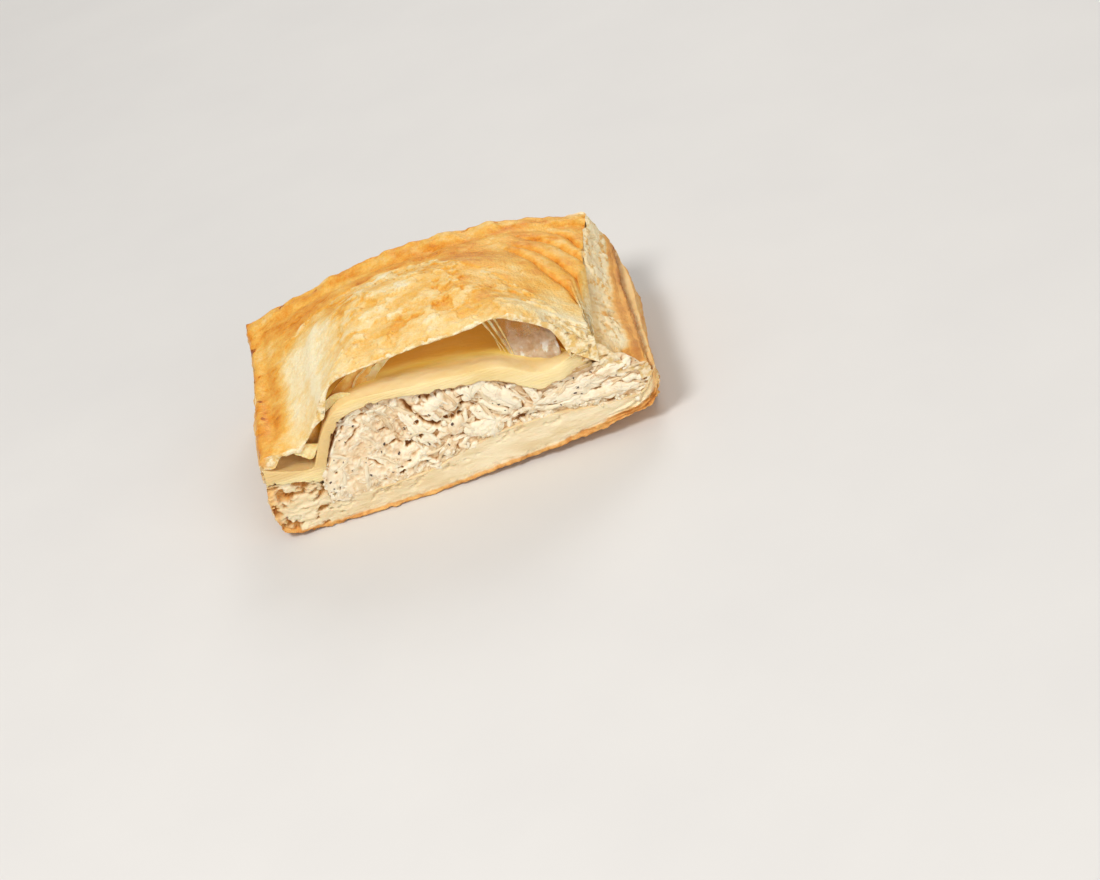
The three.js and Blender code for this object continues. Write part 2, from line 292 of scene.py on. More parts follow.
def rim_height(x, y):
    arch = 1 - np.minimum(1, (x / ARCH_HALF_SPAN) ** 2)
    return RIM_HEIGHT + (BACK_RIM_RISE + BACK_RIM_ARCH * arch) * ramp(y, -12, 29)


def dome_height(x, y):
    crown = DOME_HEIGHT - 1.6 * ((x - 4) / 26) ** 2 - 0.0019 * (y + 14) ** 2
    return crown + 1.6 * hump(x, 16.5, 5) * hump(y, CUT_Y, 10)


def dome_share(x, y):
    """0 on the rims, 1 on the crown: the product of a left, a right and a back flank,
    fuller behind the cut."""
    inwards = ramp(y, CUT_Y, -12)

    def flank(t, a, b):
        s = np.clip((t - a) / (b - a), 0, 1)
        return mix(ramp(s, 0, 1), 1 - (1 - s) ** 2, 0.35 * inwards)

    left = flank(x, mix(-39.5, -45.8, inwards), mix(-23.5, -14, inwards))
    right = flank(x, mix(48, 47, inwards), mix(19, 8, inwards))
    return left * right * flank(y, 27.5, 0)


def off_path(x, y, path):
    """Distance in plan to a drawn path, and how far along it the nearest place is, 0..1."""
    near, where = np.full(np.broadcast(x, y).shape, 1e9), 0
    for k, ((x0, y0), (x1, y1)) in enumerate(zip(path, path[1:])):
        t = np.clip(((x - x0) * (x1 - x0) + (y - y0) * (y1 - y0)) / ((x1 - x0) ** 2 + (y1 - y0) ** 2), 0, 1)
        away = np.hypot(x - mix(x0, x1, t), y - mix(y0, y1, t))
        where = np.where(away < near, (k + t) / (len(path) - 1), where)
        near = np.minimum(near, away)
    return near, where


def fan(x, y):
    """Wrinkles that fan out to the back right corner: 1 along their sharp valleys, fading at the near end."""
    bent_x, bent_y = x + 0.9 * noise(x, y, 0, 6, 3), y + 0.9 * noise(x, y, 5, 6, 4)
    valleys = 0
    for path in CREASES:
        near, where = off_path(bent_x, bent_y, path)
        valleys = np.maximum(valleys, np.exp(-near / 0.8) * ramp(where, 0, 0.4))
    return valleys


def crust_top(x, y):
    """Height of the crust without its fine relief, with creases beside the left and back rims."""
    back = 0.8 * hump(y, 25, 1.9) * ramp(x, -46, -34)
    left = 0.6 * hump(x, -44.4, 1.5) * ramp(y, -30, -20) * ramp(y, 29, 24)
    swell = mix(rim_height(x, y), dome_height(x, y), dome_share(x, y))
    corner = 2.2 * hump(x, -49, 7) * hump(y, 33, 8)
    shoulder = 0.4 * ramp(x + 0.35 * y, 24, 31) * ramp(y, -14, -6)
    return swell - back - left + corner + shoulder - 1.7 * fan(x, y)


def skin_edge(y):
    """Where the browned skin ends along the right end, which slopes and shows the leaves under it."""
    return drawn(SKIN_END, y) + 1.1 * fractal(0, y, 5, 7, 5, 12)


def broken(x, y):
    """1 where the skin is broken away at the front right, beside the pocket, and the torn
    dough under it shows."""
    to_the_right = ramp(x + 0.8 * fractal(x, y, 7, 3, 3, 18), 26.5, 27.5)
    return to_the_right * ramp(y + 1.2 * fractal(x, y, 8, 4, 4, 19), -26.6, -27.6)


def plateau(x, y):
    """1 where the outermost leaf has flaked off the crown and shows the mottled leaves under it."""
    edge = drawn(PLATEAU_EDGE, x) + 2.2 * fractal(x, y, 3, 7, 4, 5)
    return ramp(edge - y, -0.5, 0.5) * ramp(x, -43, -34)


def flaked(x, y):
    """Leaves left on the plateau: 1 on the upper leaf, 2 on the scraps of one more on it. Also gives their
    torn edges: 1 along them."""
    upper = fractal(x, y, 1, 7, 5, 8)
    scraps = fractal(x * 0.7, y, 2, 3.6, 4, 9)
    return ramp(upper, -0.04, 0.04) + ramp(scraps, 0.16, 0.24), hump(upper, 0, 0.05) + hump(scraps, 0.2, 0.05)


def leaf_lines(x, y):
    """Thin lines where one fine leaf ends on another, drawn out along the crust: 1 on them."""
    bands = fractal(x * 0.45 + 0.3 * y, y * 1.2 - 0.2 * x, 3, 5, 4, 41)
    return hump(bands, 0, 0.045) * ramp(fractal(x, y, 8, 9, 2, 42), -0.2, 0.4)


def skin_relief(x, y):
    """Fine relief: soft waves, the step down to the flaked plateau, torn leaves and blisters on it, and the
    smooth fold that runs down the left flank to the pocket."""
    bare = plateau(x, y)
    fold = off_path(x, y, FOLD)[0]
    smooth = hump(fold, 0, 7) * ramp(y, 12, 2)
    waves = 0.55 * fractal(x, y, 0, 12, 3, 1) + 0.2 * fractal(x, y, 0, 3.5, 3, 2) * (1 - 0.7 * smooth)
    blisters = np.maximum(0, fractal(x, y, 4, 3.6, 2, 10) - 0.1) ** 0.7
    grain = 0.09 * fractal(x, y, 0, 1.2, 3, 11)
    brim = 0.9 * fractal(x, y, 3, 5, 3, 13) * ramp(y, 25, 28)
    pores = ramp(fractal(x, y, 9, 1.8, 2, 23), 0.3, 0.6)
    crumbs = broken(x, y) * (0.8 * fractal(x, y, 9, 2, 4, 20) - 0.5 - 1.2 * pores)
    leaves = 0.45 * flaked(x, y)[0] + 0.6 * blisters
    steps = bare * (leaves * (1 - 0.8 * smooth) - 0.45) + 0.7 * hump(fold, 0, 1.8) * ramp(y, 14, 4)
    return waves + steps + grain + brim + crumbs - 0.22 * leaf_lines(x, y) * (1 - bare)


def quads(index):
    """Faces of a grid of point numbers."""
    return np.stack([index[:-1, :-1], index[1:, :-1], index[1:, 1:], index[:-1, 1:]], -1).reshape(-1, 4)


def mesh_piece(name, points, faces, marks=None, smooth_angle=60):
    """A piece from places in mm and its faces, turned outwards. Each mark is a function of place or a
    number for each place, with 0 where the numbers end, and is kept as an attribute of the same name."""
    a, b, c, d = [points[faces[:, k]] for k in range(4)]
    if np.sum(a * (np.cross(b, c) + np.cross(c, d))) < 0:
        faces = faces[:, ::-1]
    mesh = bpy.data.meshes.new(name)
    mesh.vertices.add(len(points))
    mesh.vertices.foreach_set("co", (points * MM).astype(np.float32).ravel())
    mesh.loops.add(faces.size)
    mesh.loops.foreach_set("vertex_index", faces.astype(np.int32).ravel())
    mesh.polygons.add(len(faces))
    mesh.polygons.foreach_set("loop_start", np.arange(0, faces.size, 4, dtype=np.int32))
    mesh.update(calc_edges=True)
    for key, values in (marks or {}).items():
        given = np.ravel(values(*points.T) if callable(values) else values).astype(np.float32)
        given = np.pad(given, (0, len(points) - len(given)))
        mesh.attributes.new(key, "FLOAT", "POINT").data.foreach_set("value", given)
    mesh.shade_smooth()
    mesh.set_sharp_from_angle(angle=np.radians(smooth_angle))
    piece = bpy.data.objects.new(name, mesh)
    bpy.context.collection.objects.link(piece)
    return piece


def rings(name, grid, marks=None, smooth_angle=60, across=1, pressed=None):
    """A closed piece from a grid of places in mm, (n, m, 3): n rings of m places, each joined to
    the next. Each end ring is closed by a grid of cells between its two halves, whose inner
    places pressed() may move."""
    n, m = grid.shape[:2]
    index = np.arange(n * m).reshape(n, m)
    points = [grid.reshape(-1, 3)]
    faces = [quads(np.concatenate([index, index[:, :1]], 1))]
    count = n * m
    share = np.linspace(0, 1, across + 1)[1:-1, None]
    for row, order in ((0, 1), (n - 1, -1)):
        half, other = grid[row, :m // 2], grid[row, ::-1][:m // 2]
        inner = mix(half[:, None], other[:, None], share[None])
        if pressed is not None and across > 1:
            inner = pressed(inner)
        numbers = count + np.arange(inner[..., 0].size).reshape(inner.shape[:2])
        count += numbers.size
        points.append(inner.reshape(-1, 3))
        cells = np.concatenate([index[row, :m // 2, None], numbers, index[row, ::-1][:m // 2, None]], 1)
        faces.append(quads(cells)[:, ::order])
    return mesh_piece(name, np.concatenate(points), np.concatenate(faces), marks, smooth_angle)


def joined(*parts):
    """One grid of places in mm from several side by side: each is its x, y and z,
    which spread to one shape."""
    return np.concatenate([np.stack(np.broadcast_arrays(*part), -1) for part in parts], 1)


def finish_piece(piece, shader, node):
    """Gives a piece its material and its body, and hides the solid that it stands for."""
    piece.data.materials.append(shader.material)
    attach(piece, "root")
    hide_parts(node)
    return piece


def crust_thickness(x, y):
    """Thin at the lip of the pocket, thicker inside and at the lip's two ends."""
    right = 1.2 * ramp(x, 15, 21) + 5.5 * ramp(x, 27.5, 31.5)
    left = 2.2 * hump(x, -30, 2.2) + (0.5 + 0.7 * fractal(x, y, 1, 2.5, 3, 24)) * ramp(x, -35, -39)
    lip = 0.85 + 0.3 * fractal(x, y, 6, 2.2, 3, 15)
    return lip + (left + right) * ramp(y, -20, CUT_Y) + 1.8 * ramp(y, CUT_Y, -20)


def pocket_floor(x, y):
    return mix(drawn(FLOOR_EDGE, x), 32 - 0.0052 * (x + 14) ** 2, ramp(y, CUT_Y, -20))


def pocket_open(x, y):
    """1 inside the pocket's plan, 0 outside."""
    left = mix(-30.3, -24, ramp(y, CUT_Y, POCKET_BACK_Y))
    right = mix(31.5, 22, ramp(y, CUT_Y, POCKET_BACK_Y))
    return ramp(x, left - 0.2, left + 2) * ramp(x, right + 0.2, right - 2) * ramp(y, POCKET_BACK_Y + 1, -1)


def crust_under(x, y, top):
    """The crust's underside: the pocket's roof, coming down to its floor at the back, and outside the
    pocket the roof of the rim's opening at the left and torn dough down to the filling at the right."""
    roof = top - crust_thickness(x, y)
    floor = pocket_floor(x, y)
    inside = mix(roof, floor + 2, ramp(y, -12, POCKET_BACK_Y + 3))
    right = np.maximum(roof, drawn(FILLING_TOP, x) - 0.6)
    near_band = ramp(x, -38, -35)
    shut = mix(roof, 20.8 - 0.4 * (x + 46), ramp(x, -42.6, -46.4))
    drop = ramp(y, mix(-27, -31.8, near_band), mix(-19, -27, near_band)) * ramp(x, -30, -33)
    outside = np.where(x > 0, right, shut) - 9 * drop
    outside = np.where(np.abs(x) < 31, np.minimum(outside, floor - 1.2), outside)
    return np.minimum(top - 0.5, mix(outside, inside, pocket_open(x, y)))


def torn(x, z):
    """How far torn and cut dough stands back from the cut: crumbs, pores, and leaves at the left rim."""
    crumbs = 0.35 * fractal(x, 0, z, 2.4, 4, 21)
    pores = 1.3 * ramp(fractal(x, 3, z * 1.5, 1.7, 2, 22), 0.42, 0.75)
    return 0.45 + crumbs + pores


COLUMNS, TOP_ROWS, LIP_ROWS, UNDER_ROWS = 336, 224, 28, 84
u = np.linspace(0, 1, COLUMNS)[:, None]
v = np.linspace(1, 0, TOP_ROWS)[None]
depth = mix(CUT_Y, BACK_Y, v)
left_edge = LEFT_X + 0.5 * np.sin(depth / 9) + 0.4 * fractal(0, depth, 2, 4, 3, 16)
x = mix(left_edge, skin_edge(depth), u)
ragged = 0.35 * fractal(x, 0, 0, 1.8, 4, 14)
y = mix(CUT_Y + 0.3 + ragged, BACK_Y + 0.3 * np.sin(x / 8) + 0.4 * fractal(x, 0, 2, 4, 3, 17), v)
margin = np.minimum(x - left_edge, BACK_Y - y)
rolled = mix(1.5, 0.7, ramp(x, 30, 42)) * (1 - np.sqrt(1 - np.clip(1 - margin / 1.6, 0, 1) ** 2))
z = crust_top(x, y) + skin_relief(x, y) - rolled
under_y = mix(CUT_Y + 0.3, BACK_Y - 1.2, np.linspace(0, 1, UNDER_ROWS)[None] ** 1.6)
under_x = mix(LEFT_X + 0.6, skin_edge(under_y) - 0.6, u)
under_top = crust_top(under_x, under_y)
under_z = crust_under(under_x, under_y, under_top)
lip = np.linspace(0, 1, LIP_ROWS + 2)[None, 1:-1]
lip_x = mix(x[:, -1:], under_x[:, :1], lip)
lip_z = mix(z[:, -1:], under_z[:, :1], lip)
thick = ramp(z[:, -1:] - under_z[:, :1], 1.2, 3)
crumbled = (torn(lip_x, lip_z) - 0.3) * thick * ramp(lip, 0, 0.12) * ramp(lip, 1, 0.9)
lip_y = mix(y[:, -1:], under_y[:, :1], lip) + crumbled - 0.25 * np.sin(np.pi * lip) * (1 - thick)
grid = joined((x, y, z), (lip_x, lip_y, lip_z), (under_x, under_y, under_z))
# 0 on the skin, 1 where the dough is torn or cut, and near 2 inside the pocket.
lip_part = 1 - 0.65 * ramp(lip_x + fractal(lip_x, 0, lip_z, 2, 3, 25), -43.5, -47.5)
part = np.concatenate([broken(x, y), lip_part, 1.62 + 0.38 * ramp(under_x, -34, -30)], 1)


def browning(x, y):
    """How brown the skin is: orange behind and beside the flaked plateau, mottled on it, cream on the left
    flank and near the cut, and darker along the torn edges of leaves and at the outer edges. The cream of
    the left flank is partly a painted highlight, and the valleys of the wrinkles are darker as painted shade."""
    bare = plateau(x, y)
    fold = off_path(x, y, FOLD)[0]
    leaves, torn_edges = flaked(x, y)
    band = 0.57 + 0.28 * fractal(x, y, 0, 9, 4, 31) - 0.08 * ramp(x, 10, 34)
    band = band + 0.12 * fractal(x * 0.5 + y, y, 0, 3, 3, 30)
    mottled = 0.50 - 0.15 * leaves + 0.26 * fractal(x, y, 1, 5, 5, 32) + 0.12 * torn_edges
    tone = mix(band, mottled, bare)
    # The left flank's cream is partly the skin's own pale colour and partly a painted highlight.
    cream = ramp(x, -43, -37) * ramp(x, -19, -27) * ramp(y, 11, 0)
    tone = mix(tone, 0.10 + 0.14 * fractal(x, y, 2, 6, 4, 33), 0.9 * cream)
    tone = mix(tone, 0.26 + 0.16 * fractal(x, y, 2, 4, 4, 34), 0.7 * ramp(y, -20, -31) * bare)
    tone = mix(tone, 0.30 + 0.16 * fractal(x, y, 2, 4, 4, 37), ramp(x, 25, 31) * ramp(y, -6, -14))
    tone = mix(tone, 0.03 + 0.14 * fractal(x, y, 2, 3, 4, 38), ramp(x, 24, 29) * ramp(y, -19, -27))
    tone = mix(tone, 0.53 + 0.30 * fractal(x * 0.4, y, 2, 3.5, 4, 35), ramp(y, 24.5, 27))
    tone = mix(tone, 0.54 + 0.26 * fractal(x, y * 0.5, 2, 4, 4, 36), ramp(x, -43, -46))
    edge = hump(x, -48.4, 1.0) + hump(y, 32.2, 1.0)
    specks = ramp(fractal(x, y, 6, 2.4, 2, 39), 0.62, 0.7) * np.maximum(ramp(y, 27, 30), ramp(x, -45, -47))
    tone = tone + 0.14 * leaf_lines(x, y) * (1 - 0.6 * bare)
    # Painted shade: the wrinkles' valleys are darkened.
    tone = tone + 0.22 * fan(x, y) - 0.3 * hump(fold, 0, 1.2) * ramp(y, 12, 2)
    return np.clip(tone + 0.16 * edge + 0.35 * specks, 0, 1)


crust = rings("crust", grid, {"part": part, "bake": lambda x, y, z: browning(x, y)}, 180)
crust_shader = Shader("baked_crust", Specular_IOR_Level=0.06, Coat_Roughness=0.42, Subsurface_Weight=0.06,
                      Subsurface_Scale=0.002, Emission_Strength=0.06)
blotches = (crust_shader.noise(2.2, 5) - 0.5) * 0.5 + (crust_shader.noise(0.7, 4) - 0.5) * 0.3
bake = crust_shader.marked("bake") + blotches
skin_colour = crust_shader.scale(bake, (0.0, 255, 240, 198), (0.25, 250, 216, 146), (0.5, 244, 186, 84),
                                 (0.75, 230, 146, 36), (1.0, 150, 70, 12))
crumb_colour = crust_shader.mottled(1.6, 4, (232, 194, 122), (253, 238, 200), 0.35, 0.65)
# Painted shade: the underside in the pocket and in the rim's opening is a deep amber, darker than the dough
# itself.
shaded_inside_colour = crust_shader.mottled(7, 3, (172, 92, 0), (200, 128, 8))
cut = crust_shader.marked("part").ramp(0.2, 0.6)
inside = crust_shader.marked("part").ramp(1.3, 1.8)
# Light comes through the thin crust, so its underside glows a little.
crust_shader.feed("Emission Color", crust_shader.blend(inside, (0, 0, 0), (236, 190, 70)))
skin_or_cut = crust_shader.blend(cut, skin_colour, crumb_colour)
crust_shader.feed("Base Color", crust_shader.blend(inside, skin_or_cut, shaded_inside_colour))
# Egg wash makes the skin glossy, and the torn and inner dough is dull.
crust_shader.feed("Coat Weight", (1.0 - cut) * 0.4)
crust_shader.feed("Roughness", 0.56 - bake * 0.26 + (crust_shader.noise(1.5, 3) - 0.5) * 0.3 + inside * 0.6)
crust_shader.bump(crust_shader.noise(0.6, 5) * 0.8 + crust_shader.noise(2.4, 4), 0.45)
finish_piece(crust, crust_shader, "pastry_top")

# ------------------------------------------------------------------ rim and ends of the top sheet
# Leaves of puff pastry seen edge on round the left, back and right sides, down to the seam with the bottom
# sheet. The right end slopes, and its upper part is torn open to pale porous dough.
SEAM_LINE = [[-50, 17], [-36, 13.8], [36, 14.2], [46, 15], [50, 16.6]]
BASE_TOP = [[-50.5, 16.6], [-45.4, 16.1], [-41.7, 15.4], [-38, 14.4], [-35.9, 13], [-35, 9], [-33.5, 7.2],
            [-29, 6.6], [-20, 6.2], [-11, 6.4], [-3, 8.5], [9, 11.2], [22, 11.3], [35, 9.4], [44, 9.2],
            [46.6, 10.5], [48, 13.6], [49.5, 16.3]]
END_PROFILE = [[0, 0.05], [0.1, 0.0], [0.3, 0.02], [0.48, 0.36], [0.7, 0.66], [1, 1]]


def seam(x):
    return drawn(SEAM_LINE, x)


def base_top(x, y):
    """Top of the bottom sheet: along the seam, and along the drawn line at the cut."""
    return mix(drawn(BASE_TOP, x), seam(x) - 0.1, ramp(y, CUT_Y + 2, CUT_Y + 7))


def leaf_edges(along, height, count, seed):
    """How far the leaves stand out up a wall: each is a rounded step with its own reach, which changes
    along it and is broken off in places."""
    phase = height * count + 0.5 * fractal(along, 0, height * 2, 16, 3, seed)
    leaf = np.floor(phase)
    share = phase - leaf
    rounded = np.sqrt(np.clip(1 - (2 * share - 1) ** 2, 0, 1))
    reach = 0.55 + 0.6 * fractal(along, 40 * leaf, 0, 7, 4, seed + 1)
    return rounded * reach + 0.22 * fractal(along, 9 * height, 0, 1.6, 3, seed + 2)


def rounded_square(count, corner, closed=False):
    """Places (u, v) along three sides of the unit square, from (0, 0) up, across and down to (1, 0), or
    along all four, with rounded corners."""
    sides = [(0, 0), (0, 1), (1, 1), (1, 0)] + ([(0, 0)] if closed else [])
    path = np.array(sides, float)
    reach = np.r_[0, np.cumsum(np.hypot(*np.diff(path, axis=0).T * [[1.0], [0.66]]))]
    at = np.linspace(0, reach[-1], count)
    places = [np.clip(at + shift, 0, reach[-1]) for shift in np.linspace(-corner, corner, 9)]
    u, v = [np.mean([np.interp(place, reach, line) for place in places], 0) for line in path.T]
    if closed:
        return u, v
    u[:12], u[-12:] = 0, 1
    return u, v


def top_left(y, w):
    return mix(-49.6, LEFT_X - 0.1, w) + 0.5 * np.sin(y / 9)


def top_right(y, w):
    along, share = np.array(END_PROFILE).T
    return mix(48.2 + 0.02 * (y + 30) * ramp(y, 5, 30), skin_edge(y) + 0.3, np.interp(w, along, share))


def top_back(x, w):
    return BACK_Y - 0.1 + 0.3 * np.sin(x / 8) + 0 * w


AROUND, UP, OVER = 620, 92, 14
u, v = [c[:, None] for c in rounded_square(AROUND, 0.02)]
w = np.linspace(0, 1, UP)[None]
along = np.linspace(0, 230, AROUND)[:, None]
y0 = mix(CUT_Y, BACK_Y, v)
x_outer = mix(top_left(y0, w), top_right(y0, w), u)
y_outer = mix(CUT_Y + 0.35, top_back(x_outer, w), v)
rightness = ramp(x_outer, 36, 42)
below_skin = mix(2.1, -0.15 - 0.5 * ramp(y_outer, 18, 25), rightness)
top_z = crust_top(x_outer, y_outer) + skin_relief(x_outer, y_outer) - below_skin
z_outer = mix(base_top(x_outer, y_outer) + 0.25, top_z, w)
edge_out = leaf_edges(along, w, 9, 51) * mix(1.0, 0.5, rightness * ramp(w, 0.1, 0.5)) * ramp(w, 1.0, 0.94)
strings = fractal(0, y_outer, 0.25 * z_outer, 1.6, 4, 55) + 0.6 * fractal(x_outer, y_outer, z_outer, 4, 3, 57)
pits = ramp(fractal(x_outer, y_outer, z_outer, 2.2, 2, 56), 0.3, 0.6)
torn_open = ramp(w, 0.42, 0.5) * (0.75 * strings - 1.6 * pits) * ramp(w, 1.0, 0.96)
rough = torn_open + 0.35 * strings * ramp(w, 0.5, 0.42)
out_x = np.clip((u - 0.5) * 40, -1, 1) * (1 - ramp(v, 0.97, 1.0) * ramp(np.abs(u - 0.5), 0.5, 0.47))
out_y = ramp(v, 0.94, 1.0)
out = (0.9 * edge_out + rightness * rough - 0.3) / np.maximum(np.hypot(out_x, out_y), 0.3)
x_out, y_out = x_outer + out_x * out, y_outer + out_y * out
down = w[:, ::-1]
left_thickness = mix(3.6, 2.2, ramp(y_outer, -26, CUT_Y)) + 1.2 * fractal(0, y_outer, 9 * down, 3, 3, 58)
inwards = np.where(u < 0.5, left_thickness, mix(2.4, 4.8, ramp(down, 0, 0.5)))
x_in = x_outer[:, ::-1] - np.clip((u - 0.5) * 40, -1, 1) * inwards
y_in = y_outer[:, ::-1] - out_y * 5
z_in = np.minimum(z_outer[:, ::-1], crust_top(x_in, y_in) - 1.4)
z_in = mix(z_in, np.minimum(z_in, 22.5), ramp(down, 0.45, 0.8) * ramp(u, 0.5, 0.9))
over = np.linspace(0, 1, OVER + 2)[None, 1:-1]
x_over, y_over = mix(x_out[:, -1:], x_in[:, :1], over), mix(y_out[:, -1:], y_in[:, :1], over)
under_skin = crust_top(x_over, y_over) + skin_relief(x_over, y_over) - 0.35
z_over = np.minimum(mix(z_outer[:, -1:], z_in[:, :1], over), under_skin)
grid = joined((x_out, y_out, z_outer), (x_over, y_over, z_over), (x_in, y_in, z_in))


def pressed_ends(inner):
    """Relief of the wall's two ends at the cut: fine leaves with gaps between them, and pores."""
    x, y, z = np.moveaxis(inner, -1, 0)
    leaves = 0.4 * np.abs(np.sin(np.pi * (z / 1.3 + 1.2 * fractal(x, 0, z, 4, 3, 61)))) ** 0.5
    return np.stack([x, CUT_Y + 0.2 + torn(x, z) - 0.6 * leaves + 0.4, z], -1)


def share_up(x, y, z):
    """Share of the way from the seam to the crust."""
    return np.clip((z - seam(x)) / (crust_top(x, y) - seam(x)), 0, 1)


leaf_mark = np.concatenate([edge_out, 0.6 + 0 * x_over, 0.2 + 0 * x_in], 1)
marks = {"leaf": leaf_mark, "up": share_up, "end": lambda x, y, z: ramp(y, CUT_Y + 1.8, CUT_Y + 0.6)}
walls = rings("top_walls", grid, marks, 70, 16, pressed_ends)
wall_shader = Shader("pastry_leaves", Roughness=0.62, Subsurface_Weight=0.06, Subsurface_Scale=0.002)
streaks = wall_shader.noise(4.2, 5, stretch=(2.0, 2.0, 0.6))
up = wall_shader.marked("up")
right = wall_shader.along(0).ramp(0.036, 0.044)
pale_top = right * up.ramp(0.42, 0.55)
near_cut = wall_shader.along(1).ramp(-0.002, -0.02)
strip = right * up.ramp(0.5, 0.42) * up.ramp(0.08, 0.16) * near_cut
pitted = wall_shader.noise(2.2, 4, stretch=(0.8, 1.6, 0.8)).ramp(0.52, 0.64) * 0.42
shaded_low_right = right * up.ramp(0.5, 0.42)
tone = streaks * 0.55 + wall_shader.marked("leaf") * 0.34 - 0.08 + strip * 0.34 - pale_top * (0.22 - pitted)
# Painted shade: the right end is darkened on its lower part away from the cut, and again at its foot by the
# seam's gap.
tone = (tone + shaded_low_right * (1.0 - near_cut) * 0.3 + right * up.ramp(0.12, 0.05) * 0.3).at_least(0)
leaf_colour = wall_shader.scale(tone, (0.0, 250, 232, 190), (0.3, 234, 198, 134), (0.55, 226, 164, 78),
                                (0.85, 176, 104, 40))
end_colour = wall_shader.mottled(1.4, 4, (224, 190, 126), (249, 233, 198), 0.35, 0.65)
wall_shader.feed("Base Color", wall_shader.blend(wall_shader.marked("end"), leaf_colour, end_colour))
wall_shader.bump(wall_shader.noise(0.6, 4, stretch=(2, 2, 0.4)), 0.3)
finish_piece(walls, wall_shader, "pastry_top")

# ------------------------------------------------------------------ soft inner layer
# The top sheet's innermost leaves, soaked and waxy: one thick band that makes the floor of the rim's
# opening, climbs the filling's left side and lies over it as the floor of the steam pocket.
LAYER_UPPER = [(-49, 21.6), (-45.5, 20.1), (-42, 18.9), (-38.5, 17.8), (-36.4, 17.6), (-35.5, 19.8),
               (-32.9, 24.7), (-31, 27.9), (-29.2, 30.4), (-26.6, 32.6), (-22, 33.6), (-12.6, 32.9),
               (-4.4, 31.5), (7.8, 31), (14.5, 29.9), (20, 25.6), (24, 24.4), (28, 25.2), (32, 26.6),
               (36, 26.6)]
LAYER_LOWER = [(-49.6, 17), (-45.4, 16), (-41.7, 15.2), (-38.5, 14.2), (-35.6, 13), (-34.2, 15.8),
               (-32.4, 20), (-30.4, 23.5), (-28.2, 26.4), (-25.4, 29.4), (-20, 29.3), (-12.2, 29.9),
               (-5, 27.3), (8, 27), (12.2, 25.2), (17, 22.2), (21.5, 18.4), (26, 20.2), (31.5, 20.6),
               (36, 21)]
SLICES, LAYER_ROWS, FACE_ROWS = 400, 56, 40


def smooth_path(points, count, width):
    """Even places along a drawn path, its turns rounded by averaging over this share of it."""
    points = np.array(points)
    steps = np.arange(len(points))
    places = [np.linspace(0, steps[-1], count) + shift for shift in np.linspace(-width, width, 9)]
    rounded = [np.mean([np.interp(place, steps, line) for place in places], 0) for line in points.T]
    return np.stack(rounded, -1)


upper, lower = [smooth_path(line, SLICES, 0.6) for line in (LAYER_UPPER, LAYER_LOWER)]
ux, uz, lx, lz = upper[:, :1], upper[:, 1:], lower[:, :1], lower[:, 1:]
crumble = 0.5 * fractal(lx, 3, lz, 2.2, 5, 71) + 0.5 * ramp(fractal(lx, 7, lz, 2.6, 3, 77), 0.25, 0.5)
back = np.linspace(1, 0, LAYER_ROWS)[None] ** 1.3
layer_y = mix(CUT_Y + 0.3, 7.0, back)
in_pocket = ramp(ux, -32.5, -28)
rise = (32 - 0.0052 * (ux + 14) ** 2 - uz) * ramp(layer_y, CUT_Y, -20) * in_pocket
hollow = (1 - in_pocket) * 2.5 * ramp(layer_y, CUT_Y + 1, -20)
soft = 0.22 * fractal(ux, layer_y, 0, 7, 3, 72) + 0.05 * fractal(ux, layer_y, 0, 1.5, 2, 73)
round_over = 0.9 * (1 - np.clip((layer_y - CUT_Y - 0.3) / 3.0, 0, 1)) ** 2 * ramp(ux, -33, -29)
up_x = ux + hollow * ramp(ux, -37.5, -36) * 0.6
up_z = uz + rise + hollow * ramp(ux, -36, -38) + soft - round_over
face = np.linspace(0, 1, FACE_ROWS + 2)[None, 1:-1]
face_x = mix(ux, lx, face)
face_z = mix(uz - round_over[:, -1:] * (1 - face) ** 2, lz + crumble, face)
bulge = 0.30 * np.sin(np.pi * face) ** 0.5 - 2.2 * ramp(ux, 28, 35)
leaves = np.sin(9 * face_z + 2 * fractal(face_x, 0, face_z, 9, 2, 75))
face_y = CUT_Y + 0.3 - bulge + 0.10 * fractal(face_x, 0, face_z, 3, 4, 74) + 0.04 * leaves
low_z = lz + crumble + (rise + hollow)[:, ::-1]
grid = joined((up_x, layer_y, up_z), (face_x, face_y, face_z), (lx, layer_y[:, ::-1], low_z))
# Painted shade: the cut face's lower edge, where the layer meets the chicken, and the underside lying on it
# are painted brown for the shade in that crevice.
low_edge = ramp(face + 0.06 * fractal(face_x, 2, face_z, 2, 4, 76), 0.93, 1.0) * ramp(face_x, -37, -35)
brown = np.concatenate([0 * up_z, low_edge, 1 + 0 * low_z], 1)
marks = {"deep": lambda x, y, z: ramp(y, CUT_Y + 0.5, CUT_Y + 14) * ramp(x, -40, -30),
         "left": lambda x, y, z: ramp(x, -24, -30) * ramp(z, 16, 18), "brown": brown}
layer = rings("inner_layer", grid, marks, 180)
layer_shader = Shader("soft_layer", Roughness=0.38, Subsurface_Weight=0.25, Subsurface_Scale=0.0025,
                      Emission_Strength=0.34)
layer_shader.surface.inputs["Subsurface Radius"].default_value = (1.0, 0.6, 0.25)
drift = layer_shader.noise(5, 4, stretch=(2.5, 1, 0.7))
front_colour = layer_shader.blend(drift.ramp(0.3, 0.7), (236, 208, 142), (247, 226, 172))
deep_colour = layer_shader.blend(drift.ramp(0.3, 0.7), (250, 216, 96), (255, 236, 158))
deep = layer_shader.marked("deep")
